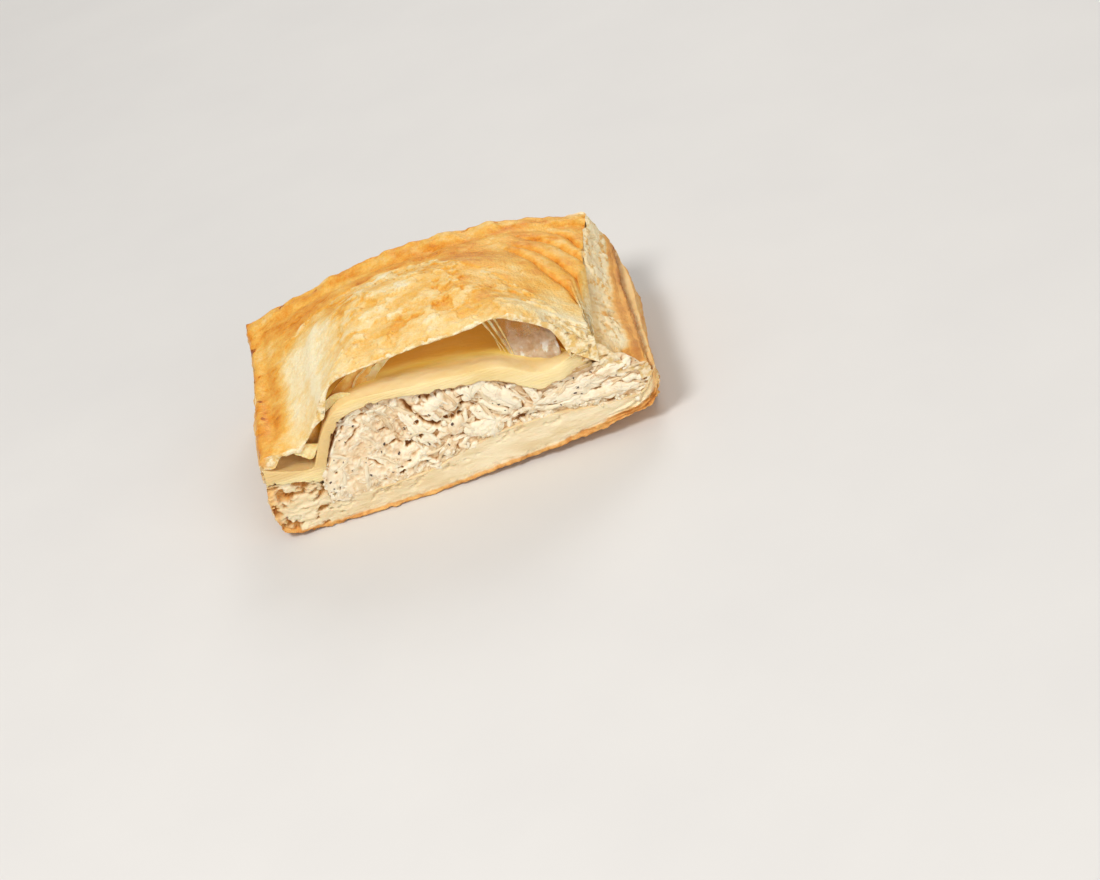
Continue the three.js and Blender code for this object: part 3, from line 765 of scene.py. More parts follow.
# Painted shade: far into the pocket the floor is darkened to deep amber, and its glow fades there too.
far_in_shade = deep.ramp(0.6, 1.0) * 0.62
deep_colour = layer_shader.blend(far_in_shade, deep_colour, (206, 130, 8))
front_colour = layer_shader.blend(layer_shader.marked("left") * 0.75, front_colour, (222, 186, 122))
layer_colour = layer_shader.blend(deep.ramp(0.0, 0.6), front_colour, deep_colour)
# The brown here is painted shade of the crevice under the layer.
browned = layer_shader.marked("brown") * 0.8
layer_shader.feed("Base Color", layer_shader.blend(browned, layer_colour, (176, 112, 40)))
# Light comes through the waxy leaf where it stands free over the filling.
glow = layer_shader.blend(far_in_shade, (246, 206, 92), (176, 104, 8))
layer_shader.feed("Emission Color", layer_shader.blend(deep.ramp(0.0, 0.8), (0, 0, 0), glow))
layer_shader.bump(layer_shader.noise(1.2, 4, stretch=(3, 1, 0.5)), 0.15)
finish_piece(layer, layer_shader, "pastry_top")

# ------------------------------------------------------------------ bottom sheet
# The sheet under the filling: smooth pale dough where it was weighed down, porous and leafy at the left
# end, with browned leaves round its outer edge and a thin brown skin underneath.
BASE_LOW = [[-50, 2.9], [-45.5, 1.1], [-38, 0.45], [-12, 0.35], [-2, 0.8], [8, 1.6], [21.5, 2.1], [32, 3],
            [45.9, 5.3], [47.5, 6.9], [49.5, 9.3]]
LOOP, FOOT_ROWS, WALL_ROWS, HEAD_ROWS = 1000, 26, 60, 14


def sheet_bulge(w):
    return np.sin(np.pi * np.minimum(1, 0.12 + w))


def skin_depth(x, y, z):
    """Heights above the underside between which the brown skin gives way to pale dough: it is a thin skin
    at the left, and several flaky browned leaves at the right end."""
    leaves = 1.6 * ramp(x, 16, 36) * (0.7 + 0.9 * fractal(x * 0.25, y, z * 1.5, 2.5, 4, 89))
    return 1.3 + leaves, 0.7 + leaves


def base_underside(x, y):
    """Height of the underside: almost flat, and turned up at the sides, the back and the
    right end of the cut."""
    outer = np.maximum(ramp(np.abs(x), 45, 51), ramp(y, 29, 34))
    front = (drawn(BASE_LOW, x) - 0.35) * ramp(y, -20, CUT_Y)
    return 0.3 + np.maximum(front, 1.1 * outer) + 0.12 * fractal(x, y, 0, 5, 4, 81)


u, v = rounded_square(LOOP + 1, 0.004, True)
u, v = u[:-1, None], v[:-1, None]
radius = np.concatenate([np.linspace(0.02, 1, FOOT_ROWS), np.ones(WALL_ROWS),
                         np.linspace(1, 0.5, HEAD_ROWS)])[None]
w = np.concatenate([np.zeros(FOOT_ROWS), np.linspace(0, 1, WALL_ROWS + 2)[1:-1], np.ones(HEAD_ROWS)])[None]
ru, rv = 0.5 + (u - 0.5) * radius, 0.5 + (v - 0.5) * radius
y0 = mix(CUT_Y, BACK_Y, rv)
left = -49 - 1.5 * sheet_bulge(w * 0.8) + 0.3 * np.sin(y0 / 6)
right = mix(47.8, 49.5, ramp(w, 0, 0.4)) + 2.0 * hump(y0, 10, 18) * (1 - ((w - 0.62) / 0.62) ** 2)
x = mix(left, right, ru)
y = mix(CUT_Y + 0.35, 32 + 1.2 * sheet_bulge(w) + 0.3 * np.sin(x / 7), rv)
top = base_top(x, y)
ragged = 0.25 * fractal(x, y, 1, 1.8, 3, 82) * ramp(w, 0.15, 0) * (radius > 0.97)
z = mix(base_underside(x, y), top, w) + ragged
on_wall = ((radius > 0.999) & (w < 0.999)) * 1.0
sides = on_wall * ramp(v, 0.01, 0.02)
front = on_wall * (1 - ramp(v, 0.004, 0.012))
loop_length = np.linspace(0, 330, LOOP)[:, None]
reach = leaf_edges(loop_length, w, 8, 83) - 0.35
brim = hump(w, 0.04, 0.06) * (0.8 + 0.9 * fractal(x, y, 0, 1.8, 4, 84))
out_x = np.where(u < 0.002, -1.0, np.where(u > 0.998, 1.0, 0.0))
out_y = np.where(v > 0.99, 1.0, 0.0)
x = x + sides * out_x * (0.9 * reach + 0.5 * brim)
y = y + sides * out_y * (0.75 * reach + 0.5 * brim)
porous = ramp(x, -30, -40)
leafy = porous * 0.35 * np.abs(np.sin(np.pi * (z / 1.7 + 1.4 * fractal(x, 0, z, 4, 3, 85)))) ** 0.5
lift = z - base_underside(x, y)
low_leaves = ramp(lift, 4, 1) * ramp(x, 10, 34) * (0.5 * fractal(x * 0.3, 0, z, 1.1, 4, 90) + 0.25)
low_crumbs = ramp(lift, 2.6, 1) * (0.45 * fractal(x, 0, z, 1.4, 4, 87) + 0.15)
caves = 2.2 * porous * ramp(fractal(x, 2, z * 1.6, 3.6, 3, 88), 0.25, 0.6)
cut_relief = (torn(x, z * 1.3) - 0.45) * (0.9 * porous + 0.06) + leafy + caves
cut_relief = cut_relief + 0.08 * fractal(x, 0, z, 5, 3, 86)
inset, lift = np.maximum(right - x, 0.05), np.maximum(lift, 0.05)
shell = inset * lift / (inset + lift) + 0.4 * fractal(x, 4, z, 3, 4, 78)
corner_leaves = ramp(x, 33, 41) * ramp(shell, 3.4, 2.2) * (0.9 * np.abs(np.sin(np.pi * shell / 0.8)) - 0.3)
near_meat = hump(top - z, 1.2, 1.3) * ramp(fractal(x, 6, z, 1.7, 4, 79), 0.1, 0.5) * ramp(x, 30, 22)
cut_relief = cut_relief + low_leaves + low_crumbs + corner_leaves + 0.8 * near_meat
left_toast = ramp(x - left + 1.3 * fractal(x, 5, z, 3, 4, 80), 4.2, 0.8)
toast = np.maximum(left_toast, ramp(shell, 1.7, 0.7) * ramp(x, 36, 42))
y = y + front * (np.maximum(cut_relief, -0.3) - 0.5 * brim)
points = np.stack([x, y, z], -1)
count = points.shape[0] * points.shape[1]
index = np.arange(count).reshape(points.shape[:2])
loop = np.concatenate([index, index[:1]], 0)
faces = [quads(loop)]
half = LOOP // 2
for row in (0, -1):
    pair = np.stack([index[:half, row], index[::-1, row][:half]], 1)
    faces.append(quads(pair)[:, ::1 if row else -1])
marks = {"toast": toast * front, "leaf": (reach + 0.35) * on_wall, "pit": front * ramp(cut_relief, 0.5, 1.9),
         "under": lambda x, y, z: ramp(z - base_underside(x, y), *skin_depth(x, y, z)),
         "end": lambda x, y, z: ramp(y, CUT_Y + 2.2, CUT_Y + 1.2)}
base = mesh_piece("base_sheet", points.reshape(-1, 3), np.concatenate(faces), marks, 70)
base_shader = Shader("pale_dough", Roughness=0.6, Subsurface_Weight=0.12, Subsurface_Scale=0.002)
streaks = base_shader.noise(3.4, 5, stretch=(2.2, 2.2, 0.4)) * 0.6 + base_shader.noise(4, 5) * 0.4
tone = streaks * 0.6 + base_shader.marked("leaf") * 0.4 - 0.02
outer_colour = base_shader.scale(tone, (0.0, 244, 220, 172), (0.35, 232, 188, 116), (0.6, 216, 152, 70),
                                 (0.9, 178, 100, 34))
cut_colour = base_shader.mottled(3.5, 4, (228, 204, 158), (244, 228, 192), stretch=(2.5, 1, 0.6))
skin = base_shader.mottled(2.2, 5, (204, 136, 58), (232, 178, 100))
toasted = base_shader.mottled(1.8, 4, (214, 150, 66), (240, 196, 118), 0.35, 0.65)
cut_colour = base_shader.blend(base_shader.marked("toast") * 0.8, cut_colour, toasted)
# Painted shade: the cut dough is darkened where it stands far back, in its pores and caves.
cut_colour = base_shader.blend(base_shader.marked("pit") * 0.85, cut_colour, (180, 120, 50))
side_colour = base_shader.blend(base_shader.marked("end"), outer_colour, cut_colour)
base_shader.feed("Base Color", base_shader.blend(base_shader.marked("under"), side_colour, skin))
base_shader.bump(base_shader.noise(0.8, 4, stretch=(2, 2, 0.5)), 0.25)
finish_piece(base, base_shader, "pastry_base")

# ------------------------------------------------------------------ chicken
# Moist pulled chicken, packed: a pile of torn pieces cut through by the knife, steep in the middle
# and level at the right, with loose shreds and fibres lying on it, crumbs along its foot and
# crushed pepper between them.
FILLING_X = (-35.6, 47.8)
FILLING_BACK_Y = 20.0
# Dark lines where pieces part, as [x, z] along each: fine cracks at the left, wide crevices in the middle.
CRACKS = ([(-26.2, 27.3), (-28.1, 24.9), (-30.7, 22.6), (-32.1, 20.3), (-33.5, 16.5), (-35, 13.3)],
          [(-25.3, 27.1), (-23, 27.2), (-20.6, 27.3), (-17, 26.3), (-14.5, 27.8)],
          [(-13.5, 21.2), (-15.8, 19.3), (-15, 16.6), (-11.9, 16.4)],
          [(-19.6, 15.5), (-18.6, 16.6), (-15.7, 16.9), (-14.2, 15.4)],
          [(-23.8, 15.7), (-22.1, 14.5), (-21.3, 12.3)],
          [(-24.1, 26.7), (-22.9, 24.3), (-24.4, 23.5), (-27, 20.8)],
          [(-22.9, 8.6), (-19.8, 6.9), (-18.2, 6.8)],
          [(-17, 12.4), (-13.6, 9.8), (-9.3, 9.2), (-6.4, 9.5), (-4.9, 8), (-1.2, 9.4)],
          [(-19.6, 20.5), (-17.2, 22.4), (-16.6, 24.6)])
CREVICES = ([(-1, 19.4), (2.5, 21.3), (4.6, 21.4), (7.2, 18.4), (10.5, 15.6), (13.2, 13.2), (17.4, 12.4),
             (23.7, 11.9)],
            [(-11.5, 27.5), (-9.8, 23.9), (-7.4, 20.3), (-4.8, 18.6), (-1.9, 19.4)],
            [(15, 18.6), (16.2, 17.6), (16.4, 16.4)])
# The pieces big enough to be told apart: x, z, length, width, slant, how high they lie in the pile, how pale.
PIECES = [(-28.6, 18.4, 8.5, 4.8, 1.2, 1.2, 0.24), (-25.4, 21.2, 6.5, 3.6, -0.9, 0.6, 0.74),
          (-23.4, 25.8, 5, 3, -0.5, 0.1, 0.44), (-18.6, 26.2, 6.5, 2.8, 0.2, 0.6, 0.7),
          (-11.8, 19.8, 10, 1.1, -1.32, 0.8, 0.72), (-10.5, 18.8, 12, 1.2, -1.24, 1.0, 0.84),
          (-9.2, 18.0, 12, 1.2, -1.2, 0.9, 0.76), (-7.9, 17.2, 10, 1.1, -1.15, 0.8, 0.84),
          (-7.0, 23.0, 7, 3.4, -0.8, 0.9, 0.88), (-3.8, 24.8, 5.5, 3.2, 0.6, 0.7, 0.84),
          (0.4, 23.8, 6.5, 3.6, 1.0, 0.6, 0.46), (-0.6, 16.6, 6, 3.6, 1.05, 0.6, 0.48),
          (5.9, 24.8, 7, 4.0, 0.5, 0.9, 0.82), (12.2, 20.0, 12, 4.0, -0.95, 1.0, 0.76),
          (10.2, 16.8, 9, 1.8, -0.85, 0.4, 0.6), (7.2, 16.6, 6, 1.5, -1.1, 0.9, 0.9),
          (19.2, 18.2, 6, 2.8, -1.3, 0.9, 0.88), (5.0, 13.2, 10, 5, -0.3, 0.6, 0.78),
          (-23, 11.5, 9, 4.5, 0.2, 0.2, 0.6), (-25, 17.2, 6, 3, 0.4, 0.5, 0.5),
          (-12, 11.2, 8, 3, 0.4, 0.1, 0.72), (30, 16, 16, 3.6, 0.1, 0.6, 0.72),
          (37, 12.6, 14, 3, -0.1, 0.7, 0.7), (27, 12.6, 10, 2.4, 0.0, 0.5, 0.8),
          (40, 18.2, 9, 3, 0.25, 0.6, 0.66)]


def filling_span(x):
    """Lowest and highest chicken at the cut."""
    low = drawn(FILLING_BOTTOM, x)
    return low - 0.3, np.maximum(drawn(FILLING_TOP, x) + 0.5, low + 1)


def lay(x, z, draw):
    """Slant of a shred at this place: steep in the upper middle, level at the right, any
    way at the lower left."""
    n = len(x)
    level = ramp(x, 14, 24)
    steep = ramp(x, -26, -18) * (1 - level) * ramp(z, 13, 19)
    loose = draw.uniform(-1.4, 1.4, n)
    middle = np.where(draw.uniform(0, 1, n) < 0.7, -1.05 + draw.normal(0, 0.3, n),
                      0.5 + draw.normal(0, 0.4, n))
    return mix(mix(loose, middle, steep), 0.08 + draw.normal(0, 0.22, n), level)


def spread(count, seed, margin):
    """Places over the chicken's section at the cut, drawn at random, this far inside its outline."""
    draw = np.random.default_rng(seed)
    x = draw.uniform(FILLING_X[0] + margin, FILLING_X[1] - margin, count * 2)
    share = draw.uniform(0, 1, count * 2)
    low, high = filling_span(x)
    z = mix(low + margin * 0.6, high - margin * 0.6, share)
    keep = draw.uniform(0, 30, count * 2) < (high - low)
    return np.stack([x, 0 * x, z], -1)[keep][:count], draw


def piled(x, z, pieces, seed):
    """The face of a pile of torn pieces: each is a rounded pad, longer than it is wide, and where
    pads overlap the higher one shows. Gives the height, how pale the pad that shows is, and the
    place across its fibres."""
    bent_x, bent_z = x + 1.1 * fractal(x, 0, z, 4, 4, seed), z + 1.1 * fractal(x, 4, z, 4, 4, seed + 1)
    starts = (-0.2, 0.55, 0.0, 0.0, 0.0)
    top, pale, along_top, across_top, own = [np.full(bent_x.shape, start) for start in starts]
    for k, (px, pz, length, width, slant, height, tone) in enumerate(pieces):
        along = (bent_x - px) * np.cos(slant) + (bent_z - pz) * np.sin(slant)
        across = (bent_z - pz) * np.cos(slant) - (bent_x - px) * np.sin(slant)
        out = np.abs(2 * along / length) ** 3 + np.abs(2 * across / width) ** 2.4
        crown = 0.45 * min(width, 2.4) * np.sqrt(np.clip(1 - out, 0, 1))
        pad = height + crown - 0.4 * along / length - 9 * (out > 1)
        shows = pad > top
        top, pale = np.where(shows, pad, top), np.where(shows, tone, pale)
        along_top, across_top = np.where(shows, along, along_top), np.where(shows, across, across_top)
        own = np.where(shows, 5.0 * k, own)
    fine_fibres = noise(0.12 * along_top, own, across_top, 0.5, seed + 2)
    coarse_fibres = noise(0.1 * along_top, own, across_top, 1.3, seed + 3)
    return top + 0.16 * (fine_fibres + coarse_fibres), pale, across_top + own


def softened(values, reach):
    """The mean over a square of places, this many each way."""
    for axis in (0, 1):
        edge = [(reach + 1, reach) if a == axis else (0, 0) for a in (0, 1)]
        total = np.cumsum(np.pad(values, edge, mode="edge"), axis)
        width, size = 2 * reach + 1, values.shape[axis]
        last, first = [np.take(total, range(start, start + size), axis) for start in (width, 0)]
        values = (last - first) / width
    return values


SLICES, FACE_ROWS, SIDE_ROWS = 560, 190, 12
x = np.linspace(*FILLING_X, SLICES)[:, None]
low, high = filling_span(x)
face = np.linspace(0, 1, FACE_ROWS)[None]
face_z = mix(high, low, face)
face_x = x + 0 * face_z
places, draw = spread(260, 7, 0.0)
n = len(places)
small = zip(places[:, 0], places[:, 2], draw.uniform(2.5, 6, n), draw.uniform(0.8, 2.0, n),
            lay(places[:, 0], places[:, 2], draw), draw.uniform(-0.4, 0.7, n), draw.uniform(0.42, 0.84, n))
top, pale, across_fibres = piled(face_x, face_z, [*small, *PIECES], 201)
opened = 0
at = face_x + 0.8 * fractal(x, 2, face_z, 3, 3, 98), face_z + 0.8 * fractal(x, 6, face_z, 3, 3, 99)
for width, strength, paths in ((0.55, 0.65, CREVICES), (0.32, 0.3, CRACKS)):
    for path in paths:
        gape = hump(off_path(*at, path)[0], 0, width) * (strength + 0.5 * noise(x, 5, face_z, 2.5, 93))
        opened = np.maximum(opened, gape)
hollows = ramp(fractal(x, 8, face_z * 1.4, 3.0, 4, 95), 0.62, 0.72)
top_gap = ramp(face + 0.12 * fractal(x, 0, 0, 2.4, 4, 96), 0.06, 0.01) * ramp(x, 26, 18)
crumbly = ramp(face + 0.2 * fractal(x, 0, face_z, 3, 3, 90), 0.6, 0.85)
leftness = ramp(x, -8, -16)
lumps = 0.35 * fractal(x, 0, face_z, 6, 2, 91)
lumps = lumps + mix(0.14 + 0.24 * leftness, 0.4, crumbly) * fractal(x, 0, face_z, 1.3, 3, 92)
gaps = np.maximum(np.maximum(opened, hollows), top_gap)
face_y = CUT_Y + 1.4 + 0.5 * leftness - 0.56 * top - lumps + 1.3 * gaps
# The knife cut off what would stand in front of this, but for a trace.
knife = CUT_Y + 0.1
face_y = np.where(face_y < knife, knife + 0.15 * (face_y - knife), face_y)
# Painted shade: the face is darkened in its hollows, crevices, cracks and the gap under the pastry, by how
# far each place lies below the mean of its surroundings.
hollow = sum(np.clip(face_y - softened(face_y, reach), -0.3, 0.7) for reach in (5, 14))
dark = 0.5 * hollow + 0.42 * np.maximum(np.maximum(opened * 0.8, hollows), top_gap)
shade = np.clip(pale + mix(0.09, -0.05, leftness) + 0.10 * fractal(x, 3, face_z, 5, 3, 97) - dark, 0, 1)
side_y = mix(CUT_Y + 3.0, FILLING_BACK_Y, np.linspace(1, 0, SIDE_ROWS)[None])
# Behind the cut the filling narrows towards its middle, and at once where it would touch the right end.
MIDDLE_X = 3
squeeze = np.sqrt(1 - 0.88 * ((side_y - CUT_Y) / (FILLING_BACK_Y - CUT_Y)) ** 3)
squeeze = squeeze * (1 - 0.06 * ramp(side_y, CUT_Y, CUT_Y + 4) * (x > MIDDLE_X))
side_x = MIDDLE_X + (x - MIDDLE_X) * squeeze
roof = np.maximum(28.2 - 0.0052 * (x + 14) ** 2, 19)
roof = mix(low + 3, mix(high - 0.8, roof, ramp(side_y, CUT_Y, -20)), squeeze)
grid = joined((side_x, side_y, roof), (x, face_y, face_z), (side_x[:, ::-1], side_y[:, ::-1], low + 0.2))
# The sides, back and underside, which show only in gaps, are painted dark as shade.
tone, grain = np.full(grid.shape[:2], 0.15), np.zeros(grid.shape[:2])
on_cut = slice(SIDE_ROWS, SIDE_ROWS + FACE_ROWS)
tone[:, on_cut], grain[:, on_cut] = shade, across_fibres
chicken_core = rings("chicken_core", grid, {"tone": tone, "grain": grain}, 180)


def on_face(values, x, z):
    """A value of the cut face's grid at any place on it."""
    low, high = filling_span(x)
    column = np.clip((x - FILLING_X[0]) / (FILLING_X[1] - FILLING_X[0]), 0, 1) * (SLICES - 1)
    row = np.clip((high - z) / (high - low), 0, 1) * (FACE_ROWS - 1)
    i, j = np.minimum(column.astype(int), SLICES - 2), np.minimum(row.astype(int), FACE_ROWS - 2)
    s, t = column - i, row - j
    return mix(mix(values[i, j], values[i + 1, j], s), mix(values[i, j + 1], values[i + 1, j + 1], s), t)


def strands(name, centres, lengths, widths, depths, slants, bends, tones, sides=10, steps=14, seed=0):
    """Many shreds as one piece: each is a bent bar with a rough oval section that thins to its
    ends, laid at its slant over the face of the pile and half sunk in it. What would stand in front
    of the cut is pressed flat."""
    count = len(centres)
    t = np.linspace(-1, 1, steps)[None, :, None]
    turn = np.linspace(0, 2 * np.pi, sides, endpoint=False)[None, None] + np.pi / sides
    one = [np.asarray(a, float).reshape(count, 1, 1) for a in (lengths, widths, depths, slants, bends)]
    length, width, thickness, slant, bend = one
    own = np.arange(count)[:, None, None] * 7.3
    taper = np.clip(1.01 - t**2, 0.0, 1) ** 0.5 * (1 + 0.25 * noise(own, 3 * t, 0, 1, seed))
    ridge = 1 + 0.2 * noise(own, 1.5 * t, 1.3 * np.cos(turn) + 2 * np.sin(turn), 0.7, seed + 1)
    along = 0.5 * length * t + 0 * turn
    middle = bend * (t**2 - 0.3) + 0.3 * noise(own, 2 * t, 5, 1, seed + 2)
    across = 0.5 * width * taper * ridge * np.cos(turn) + middle
    wander = 0.3 * thickness * noise(own, 1.6 * t, 9, 1, seed + 3)
    out = 0.5 * thickness * taper * ridge * np.sin(turn) + wander
    px = centres[:, 0, None, None] + along * np.cos(slant) - across * np.sin(slant)
    pz = centres[:, 2, None, None] + along * np.sin(slant) + across * np.cos(slant)
    path_x = centres[:, 0, None, None] + along * np.cos(slant) - middle * np.sin(slant)
    path_z = centres[:, 2, None, None] + along * np.sin(slant) + middle * np.cos(slant)
    py = on_face(soft_face, path_x, path_z) + centres[:, 1, None, None] - out
    py = np.where(py < CUT_Y, CUT_Y + 0.12 * (py - CUT_Y), py)
    points = np.stack(np.broadcast_arrays(px, py, pz), -1).reshape(-1, 3)
    index = np.arange(count * steps * sides).reshape(count, steps, sides)
    ring = np.concatenate([index, index[..., :1]], -1)
    corners = (ring[:, :-1, :-1], ring[:, 1:, :-1], ring[:, 1:, 1:], ring[:, :-1, 1:])
    side = np.stack(corners, -1).reshape(-1, 4)
    caps = []
    for row, order in ((0, 1), (-1, -1)):
        end, half = index[:, row], sides // 2
        for j in range(half - 1):
            caps.append(end[:, [j, j + 1, sides - 2 - j, sides - 1 - j]][:, ::order])
    tone = np.broadcast_to(np.asarray(tones).reshape(count, 1, 1), index.shape)
    grain = np.broadcast_to(own + across, index.shape)
    return mesh_piece(name, points, np.concatenate([side, *caps]), {"tone": tone, "grain": grain}, 180)


soft_face = softened(face_y, 4)
# How many, seed, distance kept from the outline, then lengths, widths, depths, bend and how far sunk in.
kinds = (("chicken_shreds", 60, 2, 1.2, (4, 9), (0.7, 1.3), (0.5, 0.8), 0.7, 0.1),
         ("chicken_fibres", 170, 3, 1.6, (1.5, 5), (0.16, 0.34), (0.2, 0.4), 0.5, 0.0))
chicken_shader = Shader("cooked_chicken", Roughness=0.46, Subsurface_Weight=0.25, Subsurface_Scale=0.002)
chicken_shader.surface.inputs["Subsurface Radius"].default_value = (1.0, 0.6, 0.4)
tone = chicken_shader.marked("tone") + (chicken_shader.noise(3.5, 4) - 0.5) * 0.24
meat = chicken_shader.scale(tone, (0.0, 140, 84, 26), (0.16, 188, 134, 74), (0.38, 218, 182, 138),
                            (0.62, 237, 211, 172), (0.88, 252, 238, 210))
stain = chicken_shader.noise(4.5, 5).ramp(0.56, 0.70) * 0.4
chicken_shader.feed("Base Color", chicken_shader.blend(stain, meat, (200, 158, 120)))
across_grain = chicken_shader.node("ShaderNodeCombineXYZ", {}, X=chicken_shader.marked("grain") * 3.0)[0]
stripes = chicken_shader.node("ShaderNodeTexNoise", {}, Vector=across_grain, Scale=1.0, Detail=2.0)[0]
chicken_shader.bump(stripes * 0.7 + chicken_shader.noise(0.8, 3) * 0.5, 0.12)
finish_piece(chicken_core, chicken_shader, "chicken_filling")

for name, count, seed, margin, lengths, widths, depths, bend, sunk in kinds:
    places, draw = spread(count, seed, margin)
    n = len(places)
    places[:, 1] = sunk
    slant = lay(places[:, 0], places[:, 2], draw)
    under = on_face(softened(pale, 3), places[:, 0], places[:, 2])
    own_tone = np.clip(under + draw.normal(0.04, 0.06, n), 0.4, 0.95)
    sizes = [draw.uniform(*span, n) for span in (lengths, widths, depths)]
    piece = strands(name, places, *sizes, slant, draw.normal(0, bend, n), own_tone, seed=100 + 10 * seed)
    finish_piece(piece, chicken_shader, "chicken_filling")

# Crumbs that lie where the filling meets the bottom sheet.
draw = np.random.default_rng(5)
n = 170
places = np.stack([draw.uniform(-35.8, 44, n), draw.uniform(-0.1, 0.3, n), np.zeros(n)], -1)
places[:, 2] = drawn(BASE_TOP, places[:, 0]) + draw.normal(0.4, 0.8, n)
sizes = draw.uniform(0.4, 1.1, n)
crumbs = strands("chicken_crumbs", places, sizes * 1.6, sizes, sizes, draw.uniform(-1.5, 1.5, n), 0.2 * sizes,
                 draw.uniform(0.5, 0.9, n), 8, 7, 150)
finish_piece(crumbs, chicken_shader, "chicken_filling")

places, draw = spread(50, 9, 1.0)
n = len(places)
places[:, 1] = draw.uniform(-0.05, 0.05, n)
pepper_shader = Shader("pepper", Roughness=0.7)
pepper_colour = pepper_shader.blend(pepper_shader.noise(0.5, 3), (58, 46, 40), (110, 88, 74))
pepper_shader.feed("Base Color", pepper_colour)
sizes = draw.uniform(0.25, 0.7, n) * draw.uniform(0.6, 1.1, n)
pepper = strands("pepper", places, sizes * 1.5, sizes, sizes * 0.9, draw.uniform(-1.5, 1.5, n), 0 * sizes,
                 0 * sizes, 8, 7, 140)
finish_piece(pepper, pepper_shader, "chicken_filling")

# ------------------------------------------------------------------ membranes in the pocket
# Thin leaves left across the pocket as it opened: a tan one at the left, drawn-out folds in the middle and
# a glossy, almost clear film at the right.


def pocket_to_crust(x, y, s):
    """Lowest and highest places of a web that goes from inside the floor to inside the crust."""
    return pocket_floor(x, y) - 0.8, crust_top(x, y) - 1.4


def web(name, ends, bow, crinkle, thickness, lean, spans=pocket_to_crust, cells=(70, 40), wrinkle_size=2.2,
        seed=0, flare=0):
    """A thin sheet across the pocket between two places in plan, over the heights that spans(x, y, s)
    gives. Its near and far ends lean along X by these two amounts, and its foot comes forward by flare."""
    (x0, y0), (x1, y1) = ends
    s = np.linspace(0, 1, cells[0])[:, None]
    w = np.linspace(0, 1, cells[1])[None]
    x = mix(x0, x1, s) + mix(*lean, s) * w ** 1.5 + 0.35 * noise(0, 0, 9 * w, 3, seed + 50)
    y = mix(y0, y1, s) + bow * np.sin(np.pi * s) * (0.4 + 0.6 * np.sin(np.pi * w)) + 0 * w
    low, high = spans(mix(x0, x1, s), y, s)
    z = mix(low, np.minimum(high, crust_top(x, y) - 1.2), w)
    foot = flare * (1 - w) ** 2.5 * np.sin(np.pi * s) ** 0.5
    y = y + crinkle * fractal(x, 0, z, wrinkle_size, 3, seed) - foot
    front = np.stack([x, y - thickness / 2, z], -1)
    behind = np.stack([x, y + thickness / 2, z], -1)[:, ::-1]
    return rings(name, np.concatenate([front, behind], 1), None, 180)


web_shader = Shader("dry_leaf", Roughness=0.5, Subsurface_Weight=0.2, Subsurface_Scale=0.002)
web_shader.feed("Base Color", web_shader.mottled(2.5, 4, (230, 168, 66), (246, 208, 128)))
web_shader.bump(web_shader.noise(1.0, 3, stretch=(0.6, 1, 2)), 0.15)
tan_web = web("pocket_web", ((-31.6, -30.6), (-18, -26)), 0.8, 0.35, 0.5, (0, 8.5), seed=111)
finish_piece(tan_web, web_shader, "pastry_top")
string_shader = Shader("drawn_dough", Roughness=0.4, Subsurface_Weight=0.3, Subsurface_Scale=0.002)
string_shader.feed("Base Color", string_shader.mottled(2.5, 3, (240, 200, 120), (252, 232, 182)))
# Name, place in plan, width and lean of each string.
strings = (("left_string_1", (-18.9, -26.4), 3.0, 9.4), ("left_string_2", (-22.0, -27.6), 0.5, 8.2),
           ("right_string_1", (15.2, -24.6), 0.25, -3.8), ("right_string_2", (16.2, -25.0), 0.2, -4.8),
           ("right_string_3", (17.0, -25.6), 0.4, -4.2), ("right_string_4", (17.9, -26.4), 0.2, -3.0))
FLAP_FOOT = [[-41.5, 25], [-39.5, 23.4], [-38, 21.2], [-36.4, 20.0], [-35, 20.4]]
FILM_FOOT = [[16, 26], [19, 23.6], [22.2, 22.4], [25, 22.6], [27, 24.3], [30, 24.6]]


def low_leaf(x, y, s):
    """A low leaf that stands on the pocket's floor."""
    return pocket_floor(x, y) - 0.6, pocket_floor(x, y) + 0.2 + 1.3 * np.sin(np.pi * s)


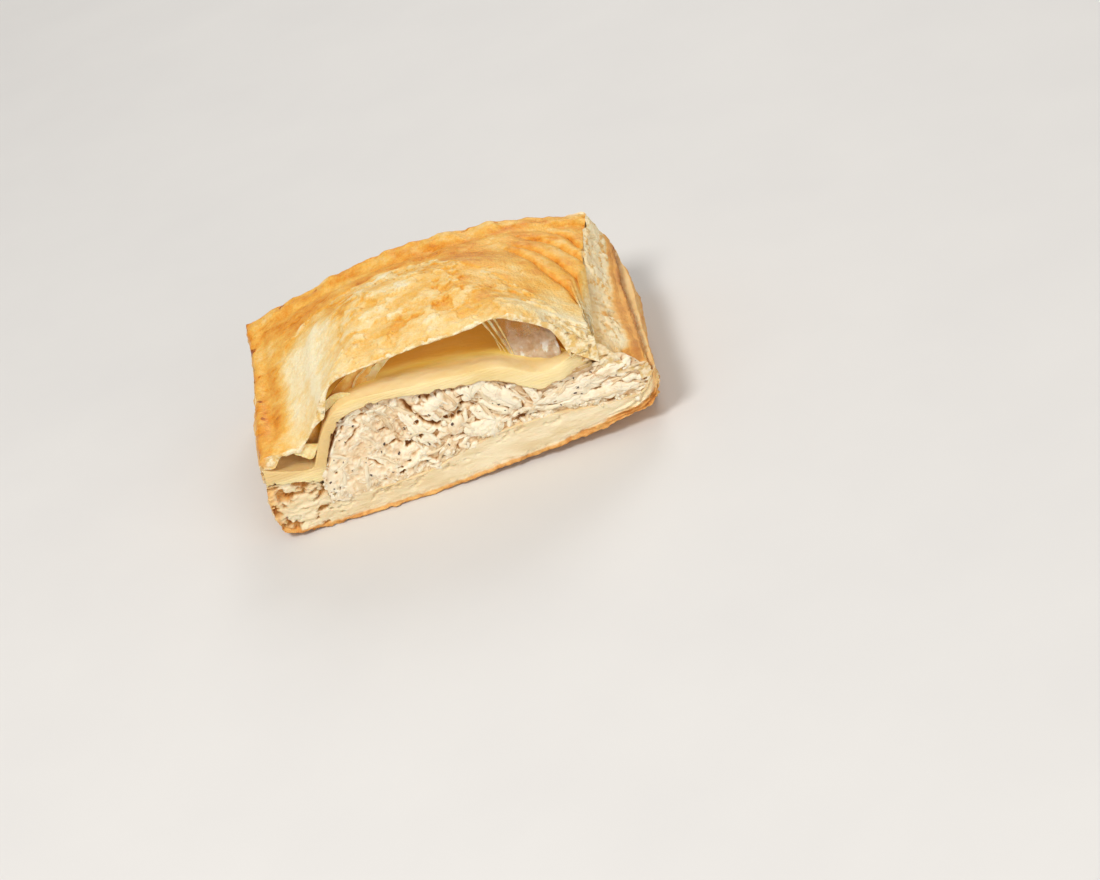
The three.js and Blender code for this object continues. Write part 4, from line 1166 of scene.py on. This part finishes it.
def rim_to_foot(x, y, s):
    """A flap that hangs from the left rim's crust, with a ragged foot."""
    return drawn(FLAP_FOOT, x) + 0.35 * fractal(x, 0, 0, 1.2, 3, 122), mix(26.2, 23.3, s) + 0 * y


def film_span(x, y, s):
    """The film's foot lies in the floor's dip, and its top inside the crust."""
    return drawn(FILM_FOOT, x) + 0.4, crust_top(x, y) - 1.4


leaf = web("pocket_leaf", ((-32.2, -31.8), (-22, -30.4)), 0.3, 0.5, 0.3, (-0.8, -0.4), low_leaf, (60, 14),
           2.5, 121)
finish_piece(leaf, string_shader, "pastry_top")
flap = web("rim_flap", ((-41, -32.3), (-35.2, -32.1)), 0.1, 0.35, 0.6, (0.0, 2.0), rim_to_foot, (50, 30), 2.0,
           123)
finish_piece(flap, string_shader, "pastry_top")
for k, (name, (x0, y0), width, lean) in enumerate(strings):
    piece = web(name, ((x0, y0), (x0 + width, y0 - 0.2)), 0.2, 0.5, 0.25, (lean, lean + 0.5), cells=(9, 60),
                seed=113 + k)
    finish_piece(piece, string_shader, "pastry_top")
film = web("pocket_film", ((16.8, -25.6), (29, -28.2)), 1.8, 0.45, 0.3, (-2, 0), film_span, (90, 70), 3.2,
           119, 2.6)
film_shader = Shader("clear_film", Roughness=0.14, Subsurface_Weight=0.2, Subsurface_Scale=0.002,
                     Coat_Weight=1.0, Coat_Roughness=0.05)
height = film_shader.along(2)
film_colour = film_shader.mottled(3, 3, (196, 158, 112), (236, 216, 190))
# Painted highlights: white streaks low on the film stand in for glints of light.
painted_glint = film_shader.noise(3.0, 3, stretch=(0.7, 1, 2.2)).ramp(0.56, 0.62) * height.ramp(0.030, 0.026)
film_shader.feed("Base Color", film_shader.blend(painted_glint, film_colour, (255, 252, 246)))
cloudy = film_shader.noise(2.4, 3).ramp(0.4, 0.65) * 0.2
film_shader.feed("Alpha", height.ramp(0.035, 0.026) * 0.62 + cloudy + 0.06)
film_shader.bump(film_shader.noise(2.2, 3, stretch=(2, 1, 0.7)), 1.0)
finish_piece(film, film_shader, "pastry_top")
